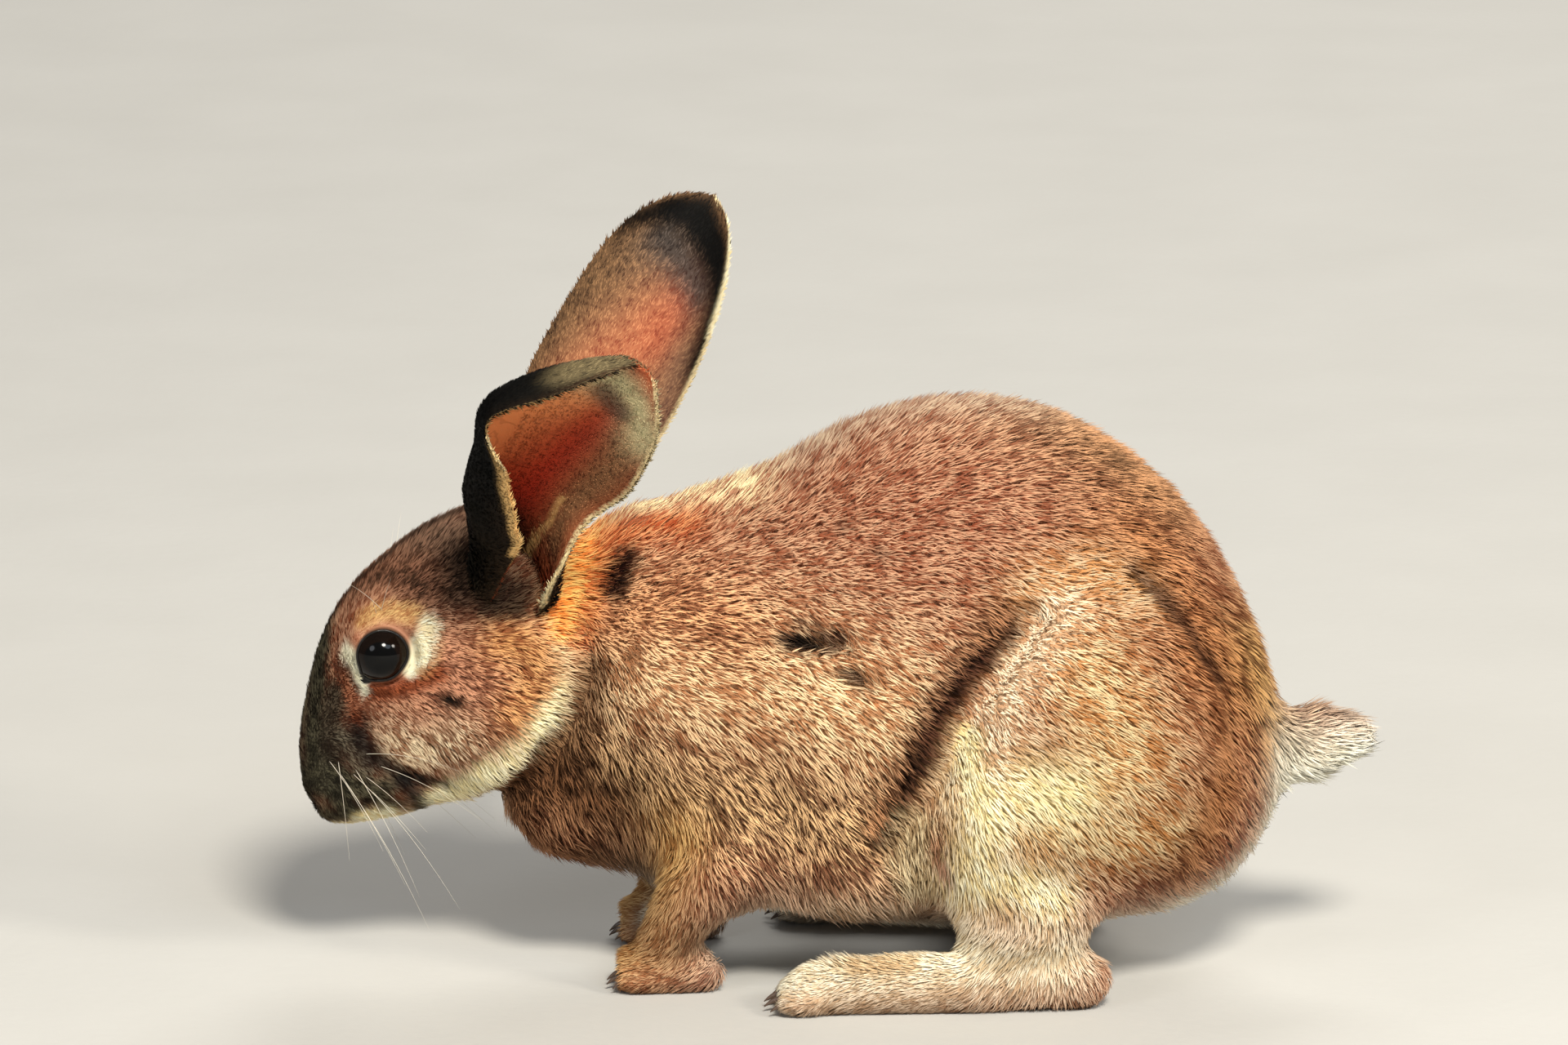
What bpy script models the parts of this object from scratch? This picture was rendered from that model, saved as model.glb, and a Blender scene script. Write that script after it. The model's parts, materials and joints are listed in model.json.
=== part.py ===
"""A rabbit crouched to graze, life size, as a still model in named solids.

Metres, +Z up, nose towards -X, the animal's left side towards -Y, feet on z = 0.
Sizes are written in millimetres in the animal's own frame, whose X = 0 lies between
the fore and hind feet and whose Y = 0 is the middle plane. The last step moves that
frame so that the origin is under the middle of the box round the whole animal.
The surface is the outline out to the tips of the coat.
"""

import math

import bmesh
import bpy
import numpy as np
from mathutils import Matrix, Vector

MM = 0.001
GAP = 0.3  # clearance between neighbouring solids
BOX_MIDDLE = (15.0, -17.5)  # middle of the finished animal's box, in its own frame

# How finely masses are grown together, and how many times the result is smoothed.
TORSO_GROWTH = (3.0, 26)
SKULL_GROWTH = (2.0, 7)
FLESH_GROWTH = (2.2, 5)
BODY_FACES = 3500  # what the fused body is thinned to, before it is parted
SIDES = ((-1, "left"), (1, "right"))

# The trunk along X: x, top of back, height of greatest width, belly, half width, squareness.
TRUNK = [
    (-76, 98, 78, 56, 13, 2.0),
    (-70, 112, 78, 48, 21, 2.0),
    (-58, 124, 76, 38, 28, 2.1),
    (-42, 134, 72, 27, 34, 2.1),
    (-20, 141, 68, 20, 39, 2.2),
    (0, 149, 66, 17, 43, 2.2),
    (20, 160.5, 64, 15, 47, 2.2),
    (45, 166.5, 62, 14, 50, 2.2),
    (70, 164.5, 60, 14, 51, 2.2),
    (92, 154, 60, 15, 50, 2.2),
    (112, 137, 60, 19, 44, 2.2),
    (127, 114, 60, 27, 35, 2.1),
    (136, 93, 60, 39, 24, 2.1),
    (141, 76, 60, 50, 11, 2.0),
]

# The skull's frame: where its axis starts, between the ears, and how far it points down.
SKULL_AT = (-73.6, 0.0, 110.2)
SKULL_PITCH = math.radians(46)
# The head along that axis, from the nape to the nose, in the same columns.
HEAD = [
    (-20, 14, 0, -14, 12, 2.0),
    (-14, 23, 0, -20, 20, 2.0),
    (0, 31, 2, -24, 25, 2.1),
    (17, 35, 4, -29, 26, 2.1),
    (35, 35.5, 4, -33, 25.5, 2.1),
    (49, 32, 2, -33, 22.5, 2.1),
    (61, 25.5, -2, -27, 18, 2.1),
    (73, 18, -4, -20, 14.5, 2.2),
    (81, 10.5, -5, -14, 11.5, 2.2),
    (86, 4, -5, -11, 8, 2.1),
    (88.5, -2, -5, -8, 4, 2.0),
]
EYE_AT = (37.2, 17.6, 18.8)
EYE_RADIUS = 8.8

# Masses of muscle and fur that the trunk and head are built up with. Each is a centre,
# three radii and a turn about Y in degrees. The ones in the pair tables have a centre
# off the middle plane and are made for both sides.
BODY_MASSES = {
    "neck": ((-58, 0, 93), (30, 27, 33), 0),
    "chest": ((-48, 0, 62), (30, 29, 36), 35),
    "belly": ((30, 0, 46), (70, 42, 31), 0),
}
BODY_PAIRS = {
    "shoulder": ((-20, 22, 78), (34, 20, 46), -14),
    "upper_arm": ((-12, 28, 46), (19, 14, 28), 24),
    "flank": ((16, 30, 46), (26, 18, 27), -14),
    "thigh": ((85, 34, 75), (41, 25, 50), 12),
    "knee": ((61, 41, 52), (19, 17, 30), 8),
    "shin": ((68, 44, 25), (22, 13, 14), -12),
    "rump": ((107, 21, 54), (24, 22, 30), 0),
}
HEAD_MASSES = {
    "chin": ((69, 0, -15), (13, 7.5, 6.5), -33),
}
HEAD_PAIRS = {
    "cheek": ((27, 14.5, -14), (25, 13, 21), 14),
    "brow": ((37, 14, 21.5), (16, 10, 11), 20),
    "whisker_pad": ((72, 6.5, -4), (13, 8.5, 12), 4),
    "ear_root": ((-1, 14, 10), (15, 11, 17), 40),
}

# Limbs along their own line: points of (x, y, z, radius), mirrored for the other side.
# A limb's ends are domes, through rings at these angles above its last section.
CAP_ANGLES = (80, 55, 28)
FORELEG = [
    (-16, 33, 40, 13),
    (-26, 31, 28, 11),
    (-33, 28, 16, 8.5),
    (-36, 26, 8, 7.5),
]
FOREPAW = [
    (-22, 27, 5.5, 7),
    (-33, 26, 6.5, 8.5),
    (-43, 25, 5.5, 8),
]
HIND_FOOT = [
    (84, 44, 8.4, 9),
    (66, 45, 8, 9.2),
    (40, 46, 7.5, 9.4),
    (18, 46.5, 6.8, 9.6),
    (8, 47, 6, 8.5),
]
TOES = 4
TOE_ARC = 14  # how fast the outer toes fall back behind the middle ones
TOE_LENGTH = 8
FORE_TOE_RADIUS = 3.96
HIND_TOE_RADIUS = 4.4
FORE_TOE_LINE = (-47, 25, 18)  # x of the tips, y of the middle, width over the row
HIND_TOE_LINE = (-2, 47, 21)
CLAW_LENGTH = 6.0
CLAW_RADII = (1.1, 0.3)  # at the root and the tip
CLAW_HEIGHT = 3.2
CLAW_TURN = math.radians(-102)  # from straight up, forward and a little down

TAIL = [
    (132, 0, 61, 9),
    (144, 0, 64, 11.5),
    (152, 0, 66, 11.5),
    (159, 0, 67, 8.5),
]

# Each ear: its root, the way it points (turned from +X about Z, then raised), the roll
# of its opening about that line, its length and the width of its flattened skin. Then how
# far either half of the blade curls in, the front rim's further curl, the share of the
# width in front of the midrib, the root's width and where the ear is widest as shares,
# and how far the midrib bows forward.
EARS = {
    "ear_left": {
        "root": (-77.6, -15.4, 125.3),
        "angles": (-68.1, 39.5, 21.2),
        "size": (110, 72),
        "curls": (29, 112),
        "shares": (0.65, 0.65, 0.56),
        "bow": 4.2,
    },
    "ear_right": {
        "root": (-74.0, 16.0, 117.3),
        "angles": (41.3, 52.6, 118.9),
        "size": (115, 53),
        "curls": (51, 24),
        "shares": (0.52, 0.67, 0.49),
        "bow": 0,
    },
}
EAR_THICKNESS = 2.8
EAR_ROOT_CURL = math.radians(150)  # how far either half of the root wraps round
EAR_MOST_CURL = math.radians(165)
EAR_BACKWARD = 3.7

# Where the solids part. Cuts across the body are a point and a direction in XZ; limbs
# are cut round a smooth outline in XZ, from so far off the middle plane outwards.
CROSS_CUTS = {
    "head": ((-66, 92), (-0.963, 0.270)),
    "neck": ((-50, 94), (-0.957, 0.289)),
    "tail": ((141.5, 62), (1.0, 0.0)),
}
FORELEG_EDGE = [(-54, -10), (-18, -12), (-11, 8), (2, 26), (6, 52), (-2, 80), (-20, 98),
                (-38, 88), (-45, 60), (-52, 30)]
HIND_FOOT_EDGE = [(-9, -12), (10, -14), (85, -14), (101, -8), (101, 12), (85, 15.5),
                  (56, 16), (38, 20), (10, 20), (-9, 13)]
HIND_LEG_EDGE = [(48, 4), (100, 4), (122, 40), (128, 72), (118, 102), (94, 121),
                 (70, 115), (52, 92), (43, 66), (42, 34)]
LIMB_CUTS = {
    "foreleg": (FORELEG_EDGE, 14),
    "hind_foot": (HIND_FOOT_EDGE, 32),
    "hind_leg": (HIND_LEG_EDGE, 20),
}

# Colour and roughness of each kind of solid.
FINISHES = {
    "head": ((0.20, 0.105, 0.050), 0.9),
    "neck": ((0.34, 0.135, 0.050), 0.9),
    "trunk": ((0.25, 0.125, 0.055), 0.9),
    "tail": ((0.62, 0.55, 0.46), 0.9),
    "foreleg": ((0.28, 0.155, 0.075), 0.9),
    "hind_leg": ((0.36, 0.22, 0.115), 0.9),
    "hind_foot": ((0.50, 0.38, 0.24), 0.9),
    "ear": ((0.24, 0.115, 0.070), 0.85),
    "eye": ((0.012, 0.008, 0.006), 0.05),
}


def clear_scene():
    for item in list(bpy.data.objects):
        bpy.data.objects.remove(item)


def add_object(name, mesh, collection):
    item = bpy.data.objects.new(name, mesh)
    collection.objects.link(item)
    return item


def add_solid(name, made, collection):
    """An object from a bmesh, which is then freed."""
    mesh = bpy.data.meshes.new(name)
    made.to_mesh(mesh)
    made.free()
    return add_object(name, mesh, collection)


def smooth_rows(rows, steps):
    """Rows of a table run through by a Catmull-Rom curve, steps rows to each gap."""
    rows = np.array(rows, float)
    padded = np.vstack([2 * rows[0] - rows[1], rows, 2 * rows[-1] - rows[-2]])
    out = []
    for i in range(1, len(rows)):
        a, b, c, d = padded[i - 1 : i + 3]
        for t in np.linspace(0, 1, steps, endpoint=False):
            out.append(
                0.5
                * (
                    2 * b
                    + (c - a) * t
                    + (2 * a - 5 * b + 4 * c - d) * t**2
                    + (3 * b - a - 3 * c + d) * t**3
                )
            )
    out.append(rows[-1])
    return np.array(out)


def loft(rings, collection, name):
    """A closed body through rings of points, its ends closed with fans."""
    made = bmesh.new()
    loops = [[made.verts.new(p) for p in ring] for ring in rings]
    for low, high in zip(loops, loops[1:]):
        for i in range(len(low)):
            j = (i + 1) % len(low)
            made.faces.new((low[i], low[j], high[j], high[i]))
    for ring in (loops[0], loops[-1]):
        pole = made.verts.new(sum((v.co for v in ring), Vector()) / len(ring))
        for i in range(len(ring)):
            made.faces.new((ring[i], ring[(i + 1) % len(ring)], pole))
    bmesh.ops.recalc_face_normals(made, faces=made.faces)
    return add_solid(name, made, collection)


def barrel(name, stations, collection, place=Matrix.Identity(4), sides=32):
    """A body lofted through upright sections whose upper and lower halves differ."""
    angles = np.linspace(0, 2 * math.pi, sides, endpoint=False)
    rings = []
    for x, top, wide, bottom, half, square in smooth_rows(stations, 4):
        c, s = np.cos(angles), np.sin(angles)
        y = half * np.sign(c) * np.abs(c) ** (2 / square)
        rise = np.where(s > 0, top - wide, wide - bottom)
        z = wide + rise * np.sign(s) * np.abs(s) ** (2 / square)
        rings.append([place @ Vector((x, b, h)) for b, h in zip(y, z)])
    return loft(rings, collection, name)


def blob(name, centre, radii, turn_deg, collection, place=Matrix.Identity(4)):
    """An ellipsoid turned about Y."""
    made = bmesh.new()
    bmesh.ops.create_uvsphere(made, u_segments=28, v_segments=18, radius=1)
    turn = Matrix.Rotation(math.radians(turn_deg), 4, "Y")
    size = Matrix.Diagonal((*radii, 1))
    made.transform(place @ Matrix.Translation(centre) @ turn @ size)
    made.normal_update()
    bmesh.ops.recalc_face_normals(made, faces=made.faces)
    return add_solid(name, made, collection)


def limb(name, points, collection, side=1, sides=16):
    """A rounded tube through points of (x, y, z, radius)."""
    rows = smooth_rows(points, 4)
    middle = rows[:, :3] * (1, side, 1)
    along = np.gradient(middle, axis=0)
    along /= np.linalg.norm(along, axis=1)[:, None]
    across = np.cross(along, (0, 1, 0))
    across /= np.linalg.norm(across, axis=1)[:, None]
    other = np.cross(along, across)
    angles = np.linspace(0, 2 * math.pi, sides, endpoint=False)[:, None]

    def ring(i, at, radius):
        around = np.cos(angles) * across[i] + np.sin(angles) * other[i]
        return [Vector(p) for p in at + radius * around]

    body = [ring(i, middle[i], rows[i, 3]) for i in range(len(rows))]
    caps = []
    for i, end in ((0, -1), (len(rows) - 1, 1)):
        domes = []
        for tip in np.radians(CAP_ANGLES):
            at = middle[i] + end * math.sin(tip) * rows[i, 3] * along[i]
            domes.append(ring(i, at, rows[i, 3] * math.cos(tip)))
        caps.append(domes)
    return loft(caps[0] + body + caps[1][::-1], collection, name)


def skull_frame():
    """From the head's own axes, nose along +X, to the animal's."""
    forward = Vector((-math.cos(SKULL_PITCH), 0, -math.sin(SKULL_PITCH)))
    up = Vector((-math.sin(SKULL_PITCH), 0, math.cos(SKULL_PITCH)))
    side = Vector((0, 1, 0))
    axes = Matrix((forward, side, up)).transposed().to_4x4()
    return Matrix.Translation(SKULL_AT) @ axes


def masses(single, paired, helpers, place=Matrix.Identity(4)):
    """The rounded masses of one region, on the middle plane and to either side of it."""
    made = []
    for name, (centre, radii, turn) in single.items():
        made.append(blob(name, centre, radii, turn, helpers, place))
    for name, (centre, radii, turn) in paired.items():
        for side, _ in SIDES:
            at = (centre[0], side * centre[1], centre[2])
            made.append(blob(name, at, radii, turn, helpers, place))
    return made


def toe_ends(line, side):
    """Where the toes of a row end, (x, y) each. The middle ones reach furthest."""
    tip_x, middle_y, width = line
    for k in range(TOES):
        across = (k + 0.5) / TOES - 0.5
        yield tip_x + TOE_ARC * across**2, side * (middle_y + across * width)


def toes(line, radius, side, helpers):
    """A row of short toes that rest on the ground."""
    radii = (TOE_LENGTH, radius, radius * 0.95)
    made = []
    for x, y in toe_ends(line, side):
        made.append(blob("toe", (x + radius, y, radius * 0.9), radii, 0, helpers))
    return made


def limbs(side, helpers):
    """The legs and feet of one side."""
    made = [
        limb("foreleg", FORELEG, helpers, side),
        limb("forepaw", FOREPAW, helpers, side),
        limb("hind_foot", HIND_FOOT, helpers, side),
    ]
    made += toes(FORE_TOE_LINE, FORE_TOE_RADIUS, side, helpers)
    made += toes(HIND_TOE_LINE, HIND_TOE_RADIUS, side, helpers)
    return made


def join_meshes(parts, name, collection):
    """One object holding every part's mesh."""
    whole = bmesh.new()
    for part in parts:
        whole.from_mesh(part.data)
        bpy.data.objects.remove(part)
    return add_solid(name, whole, collection)


def evaluated_mesh(item):
    graph = bpy.context.evaluated_depsgraph_get()
    graph.update()
    return bpy.data.meshes.new_from_object(item.evaluated_get(graph))


def bake_modifiers(item):
    """The item's modifiers worked into its own mesh."""
    mesh = evaluated_mesh(item)
    item.modifiers.clear()
    item.data = mesh
    return item


def fuse(parts, name, collection, growth):
    """Overlapping masses grown together and softened."""
    voxel, smoothing = growth
    whole = join_meshes(parts, name, collection)
    grow = whole.modifiers.new("grow_together", "REMESH")
    grow.mode = "VOXEL"
    grow.voxel_size = voxel
    soften = whole.modifiers.new("soften", "SMOOTH")
    soften.factor = 0.5
    soften.iterations = smoothing
    return bake_modifiers(whole)


def thin_out(item, faces):
    """The same shape in about that many triangles."""
    thin = item.modifiers.new("thin", "DECIMATE")
    thin.ratio = faces / (2 * len(item.data.polygons))
    return bake_modifiers(item)


def boolean(item, cutter, operation):
    step = item.modifiers.new("cut", "BOOLEAN")
    step.operation = operation
    step.object = cutter
    return bake_modifiers(item)


def copy_of(item, name, collection):
    return add_object(name, item.data.copy(), collection)


def ease(low, high, x):
    """0 below low, 1 above high and smooth between."""
    t = np.clip((x - low) / (high - low), 0, 1)
    return t * t * (3 - 2 * t)


def ear_sheet(shape, side):
    """The ear's skin as a grid: a leaf rolled into a tube at its root.

    Along the length the two halves turn through an angle that falls from the root's curl
    to the blade's; the front half's outer part turns further in by the rim's curl.
    """
    heading, rise, roll = (math.radians(a) for a in shape["angles"])
    length, width = shape["size"]
    blade_curl, rim_curl = (math.radians(a) for a in shape["curls"])
    front_share, root_share, widest = shape["shares"]
    along = Vector((math.cos(heading), math.sin(heading), 0)) * math.cos(rise)
    along.z = math.sin(rise)
    level = along.cross(Vector((0, 0, 1))).normalized()
    front = math.cos(roll) * level + math.sin(roll) * level.cross(along)
    opening = side * front.cross(along)
    s = 1 - (1 - np.linspace(0, 1, 18)[:, None]) ** 1.5
    u = np.linspace(-1, 1, 13)[None]
    narrow = root_share + (1 - root_share) * ease(0, widest, s)
    beyond = np.clip((s - widest) / (1 - widest), 0, 1)
    half = width / 2 * narrow * np.sqrt(np.clip(1 - beyond**2.4, 0.004, 1))
    opened = ease(-0.05, 0.42, s)
    curl = EAR_ROOT_CURL * (1 - opened) + blade_curl * opened
    rim = np.minimum(rim_curl * (1 - 0.75 * ease(0.6, 0.95, s)), EAR_MOST_CURL - curl)
    turn = curl * u + rim * ease(0.2, 0.85, u)
    front_share = 0.5 + (front_share - 0.5) * ease(0, 0.35, s)
    share = 2 * np.where(u > 0, front_share, 1 - front_share)
    step = 2 / (u.shape[1] - 1)
    sheet = []
    for slope in (np.cos(turn) * share, np.sin(turn) * share):
        run = np.cumsum((slope[:, 1:] + slope[:, :-1]) / 2 * step, axis=1)
        run = np.hstack([np.zeros((len(s), 1)), run])
        sheet.append(half * (run - run[:, [u.shape[1] // 2]]))
    across = sheet[0] + shape["bow"] * np.sin(math.pi * s)
    out = sheet[1] - EAR_BACKWARD * s**2
    return (
        np.array(shape["root"])
        + length * s[..., None] * np.array(along)
        + across[..., None] * np.array(front)
        + out[..., None] * np.array(opening)
    )


def ear(name, shape, side, body_cutter, collection):
    """An ear: the sheet given a thickness, less whatever would stand in the head."""
    points = ear_sheet(shape, side)
    made = bmesh.new()
    rows = [[made.verts.new(p) for p in row] for row in points]
    for low, high in zip(rows, rows[1:]):
        for i in range(len(low) - 1):
            made.faces.new((low[i], low[i + 1], high[i + 1], high[i]))
    bmesh.ops.remove_doubles(made, verts=made.verts, dist=0.0001)
    item = add_solid(name, made, collection)
    wall = item.modifiers.new("wall", "SOLIDIFY")
    wall.thickness = EAR_THICKNESS
    wall.offset = 0
    bake_modifiers(item)
    return boolean(item, body_cutter, "DIFFERENCE")


def grown(item, distance, helpers):
    """A copy whose surface stands that far outside the item's."""
    copy = copy_of(item, item.name + "_grown", helpers)
    swell = copy.modifiers.new("swell", "DISPLACE")
    swell.mid_level = 0
    swell.strength = distance
    return bake_modifiers(copy)


def half_space(cut, grow, helpers):
    """A large block on the far side of a plane, which is moved back by grow."""
    (x, z), (nx, nz) = cut
    made = bmesh.new()
    bmesh.ops.create_cube(made, size=400)
    turn = Matrix.Rotation(math.atan2(-nz, nx), 4, "Y")
    place = Matrix.Translation((x, 0, z)) @ turn @ Matrix.Translation((200 - grow, 0, 0))
    made.transform(place)
    return add_solid("block", made, helpers)


def prism(edge, inner, side, grow, helpers):
    """A smooth outline in XZ drawn out sideways from inner, every face moved by grow."""
    edge = np.array(edge, float)
    ring = smooth_rows(np.vstack([edge[-1], edge, edge[:2]]), 3)[3:-3][:-1]
    tangent = np.roll(ring, -1, 0) - np.roll(ring, 1, 0)
    tangent /= np.linalg.norm(tangent, axis=1)[:, None]
    ring = ring + grow * np.column_stack([tangent[:, 1], -tangent[:, 0]])
    ends = [side * (inner - grow), side * 120]
    rings = [[Vector((x, y, z)) for x, z in ring] for y in ends]
    return loft(rings, helpers, "prism")


def carve(body, name, region, collection):
    """Part off what lies in the region; the body loses a little more, for the gap."""
    piece = copy_of(body, name, collection)
    boolean(piece, region(0), "INTERSECT")
    boolean(body, region(GAP), "DIFFERENCE")
    return piece


def claws(line, side, paw):
    """Claws joined to the toes of a paw."""
    for x, y in toe_ends(line, side):
        made = bmesh.new()
        bmesh.ops.create_cone(
            made,
            cap_ends=True,
            segments=8,
            radius1=CLAW_RADII[0],
            radius2=CLAW_RADII[1],
            depth=CLAW_LENGTH,
        )
        turn = Matrix.Rotation(CLAW_TURN, 4, "Y")
        made.transform(Matrix.Translation((x + 1, y, CLAW_HEIGHT)) @ turn)
        claw = add_solid("claw", made, paw.users_collection[0])
        boolean(paw, claw, "UNION")
        bpy.data.objects.remove(claw)


def eye_sphere(name, side, radius, collection):
    """A ball round the middle of an eye: the eye itself, or what hollows its socket."""
    centre = skull_frame() @ Vector((EYE_AT[0], side * EYE_AT[1], EYE_AT[2]))
    made = bmesh.new()
    bmesh.ops.create_icosphere(made, subdivisions=3, radius=radius)
    made.transform(Matrix.Translation(centre))
    return add_solid(name, made, collection)


def material(name, colour, roughness):
    made = bpy.data.materials.new(name)
    made.use_nodes = True
    shader = made.node_tree.nodes["Principled BSDF"]
    shader.inputs["Base Color"].default_value = (*colour, 1)
    shader.inputs["Roughness"].default_value = roughness
    shader.inputs["Metallic"].default_value = 0
    return made


def body_and_helpers():
    """The collection of finished solids and the one of cutters and masses."""
    groups = [bpy.data.collections.new(name) for name in ("rabbit", "helpers")]
    for group in groups:
        bpy.context.scene.collection.children.link(group)
    groups[1].hide_render = True
    return groups


def fused_body(rabbit, helpers):
    """Trunk, head, limbs and tail as one body that stands flat on z = 0."""
    skull = skull_frame()
    torso = [barrel("barrel", TRUNK, helpers)] + masses(BODY_MASSES, BODY_PAIRS, helpers)
    torso = fuse(torso, "torso", helpers, TORSO_GROWTH)
    head = [barrel("barrel", HEAD, helpers, skull)]
    head += masses(HEAD_MASSES, HEAD_PAIRS, helpers, skull)
    head = fuse(head, "skull", helpers, SKULL_GROWTH)
    legs = [part for side, _ in SIDES for part in limbs(side, helpers)]
    tail = limb("tail", TAIL, helpers)
    body = fuse([torso, head, *legs, tail], "trunk", rabbit, FLESH_GROWTH)
    thin_out(body, BODY_FACES)
    boolean(body, half_space(((0, 0), (0, -1)), 0, helpers), "DIFFERENCE")
    return body


def part_limbs(body, rabbit, helpers):
    """The legs and hind feet of both sides, carved off the body, with their claws."""
    toe_lines = {"foreleg": FORE_TOE_LINE, "hind_foot": HIND_TOE_LINE}
    for limb_name, (edge, inner) in LIMB_CUTS.items():
        for side, word in SIDES:

            def region(grow):
                return prism(edge, inner, side, grow, helpers)

            piece = carve(body, limb_name + "_" + word, region, rabbit)
            if limb_name in toe_lines:
                claws(toe_lines[limb_name], side, piece)


def main():
    clear_scene()
    rabbit, helpers = body_and_helpers()
    body = fused_body(rabbit, helpers)
    clear = grown(body, GAP, helpers)
    for side, word in SIDES:
        name = "ear_" + word
        ear(name, EARS[name], side, clear, rabbit)
    for name, cut in CROSS_CUTS.items():
        carve(body, name, lambda grow: half_space(cut, grow, helpers), rabbit)
    part_limbs(body, rabbit, helpers)
    head = rabbit.objects["head"]
    for side, word in SIDES:
        socket = eye_sphere("socket", side, EYE_RADIUS + GAP, helpers)
        boolean(head, socket, "DIFFERENCE")
        eye_sphere("eye_" + word, side, EYE_RADIUS, rabbit)

    shift = Matrix.Translation((-BOX_MIDDLE[0], -BOX_MIDDLE[1], 0))
    for item in rabbit.objects:
        item.data.transform(Matrix.Scale(MM, 4) @ shift)
        item.data.shade_smooth()
        item.data.materials.clear()
        kind = item.name.removesuffix("_left").removesuffix("_right")
        item.data.materials.append(material(item.name + "_finish", *FINISHES[kind]))
    for item in helpers.objects:
        item.hide_render = True
        item.display_type = "WIRE"


main()
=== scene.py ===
"""The looks of a crouching rabbit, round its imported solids: skin, eyes, ears, coat, claws and whiskers.

Shapes are worked out in millimetres, in the frame of the solids: nose towards -X, left side towards -Y.
"""

import json
import math

import bmesh
import bpy
import numpy as np
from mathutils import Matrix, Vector
from mathutils.bvhtree import BVHTree
from mathutils.kdtree import KDTree

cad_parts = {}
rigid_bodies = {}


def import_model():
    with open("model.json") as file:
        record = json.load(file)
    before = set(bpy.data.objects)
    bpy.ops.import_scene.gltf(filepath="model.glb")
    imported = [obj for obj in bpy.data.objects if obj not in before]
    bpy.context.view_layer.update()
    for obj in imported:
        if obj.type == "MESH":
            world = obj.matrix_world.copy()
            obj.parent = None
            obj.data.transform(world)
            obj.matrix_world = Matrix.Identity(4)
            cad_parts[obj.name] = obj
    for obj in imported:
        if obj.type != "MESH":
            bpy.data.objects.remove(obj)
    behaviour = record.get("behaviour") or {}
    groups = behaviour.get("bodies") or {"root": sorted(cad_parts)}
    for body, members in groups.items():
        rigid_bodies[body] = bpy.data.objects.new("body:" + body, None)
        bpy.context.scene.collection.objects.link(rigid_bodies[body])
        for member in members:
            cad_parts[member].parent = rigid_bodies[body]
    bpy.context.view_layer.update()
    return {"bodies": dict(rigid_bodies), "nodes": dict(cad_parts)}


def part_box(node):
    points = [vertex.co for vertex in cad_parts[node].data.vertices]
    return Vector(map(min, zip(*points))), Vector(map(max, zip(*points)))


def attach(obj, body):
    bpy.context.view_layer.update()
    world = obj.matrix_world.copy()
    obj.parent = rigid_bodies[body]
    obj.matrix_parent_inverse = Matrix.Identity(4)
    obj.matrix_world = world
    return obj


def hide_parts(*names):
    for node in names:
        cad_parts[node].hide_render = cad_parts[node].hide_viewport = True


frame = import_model()

# ----------------------------------------
# The skin: one closed hide from nose to toes and tail, which the coat grows from.
# It is grown round copies of the solids of flesh, swollen until they meet, then drawn in
# by the depth of the coat, and it gets the folds of nose, mouth, cheeks, haunches and toes.
# ----------------------------------------
MM = 0.001
FLESH_SWELL = 0.35
SKIN_GRAIN = 1.35
SMOOTH_FIRST = 6  # rounds of smoothing before the folds go in, and after
SMOOTH_LAST = 2
SKIN_LOWEST = 0.6
body = list(frame["bodies"])[0]
eye_centres = {name: np.mean(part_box(name), axis=0) / MM for name in ("eye_left", "eye_right")}
MIDDLE = np.mean(list(eye_centres.values()), axis=0)[1]

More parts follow.
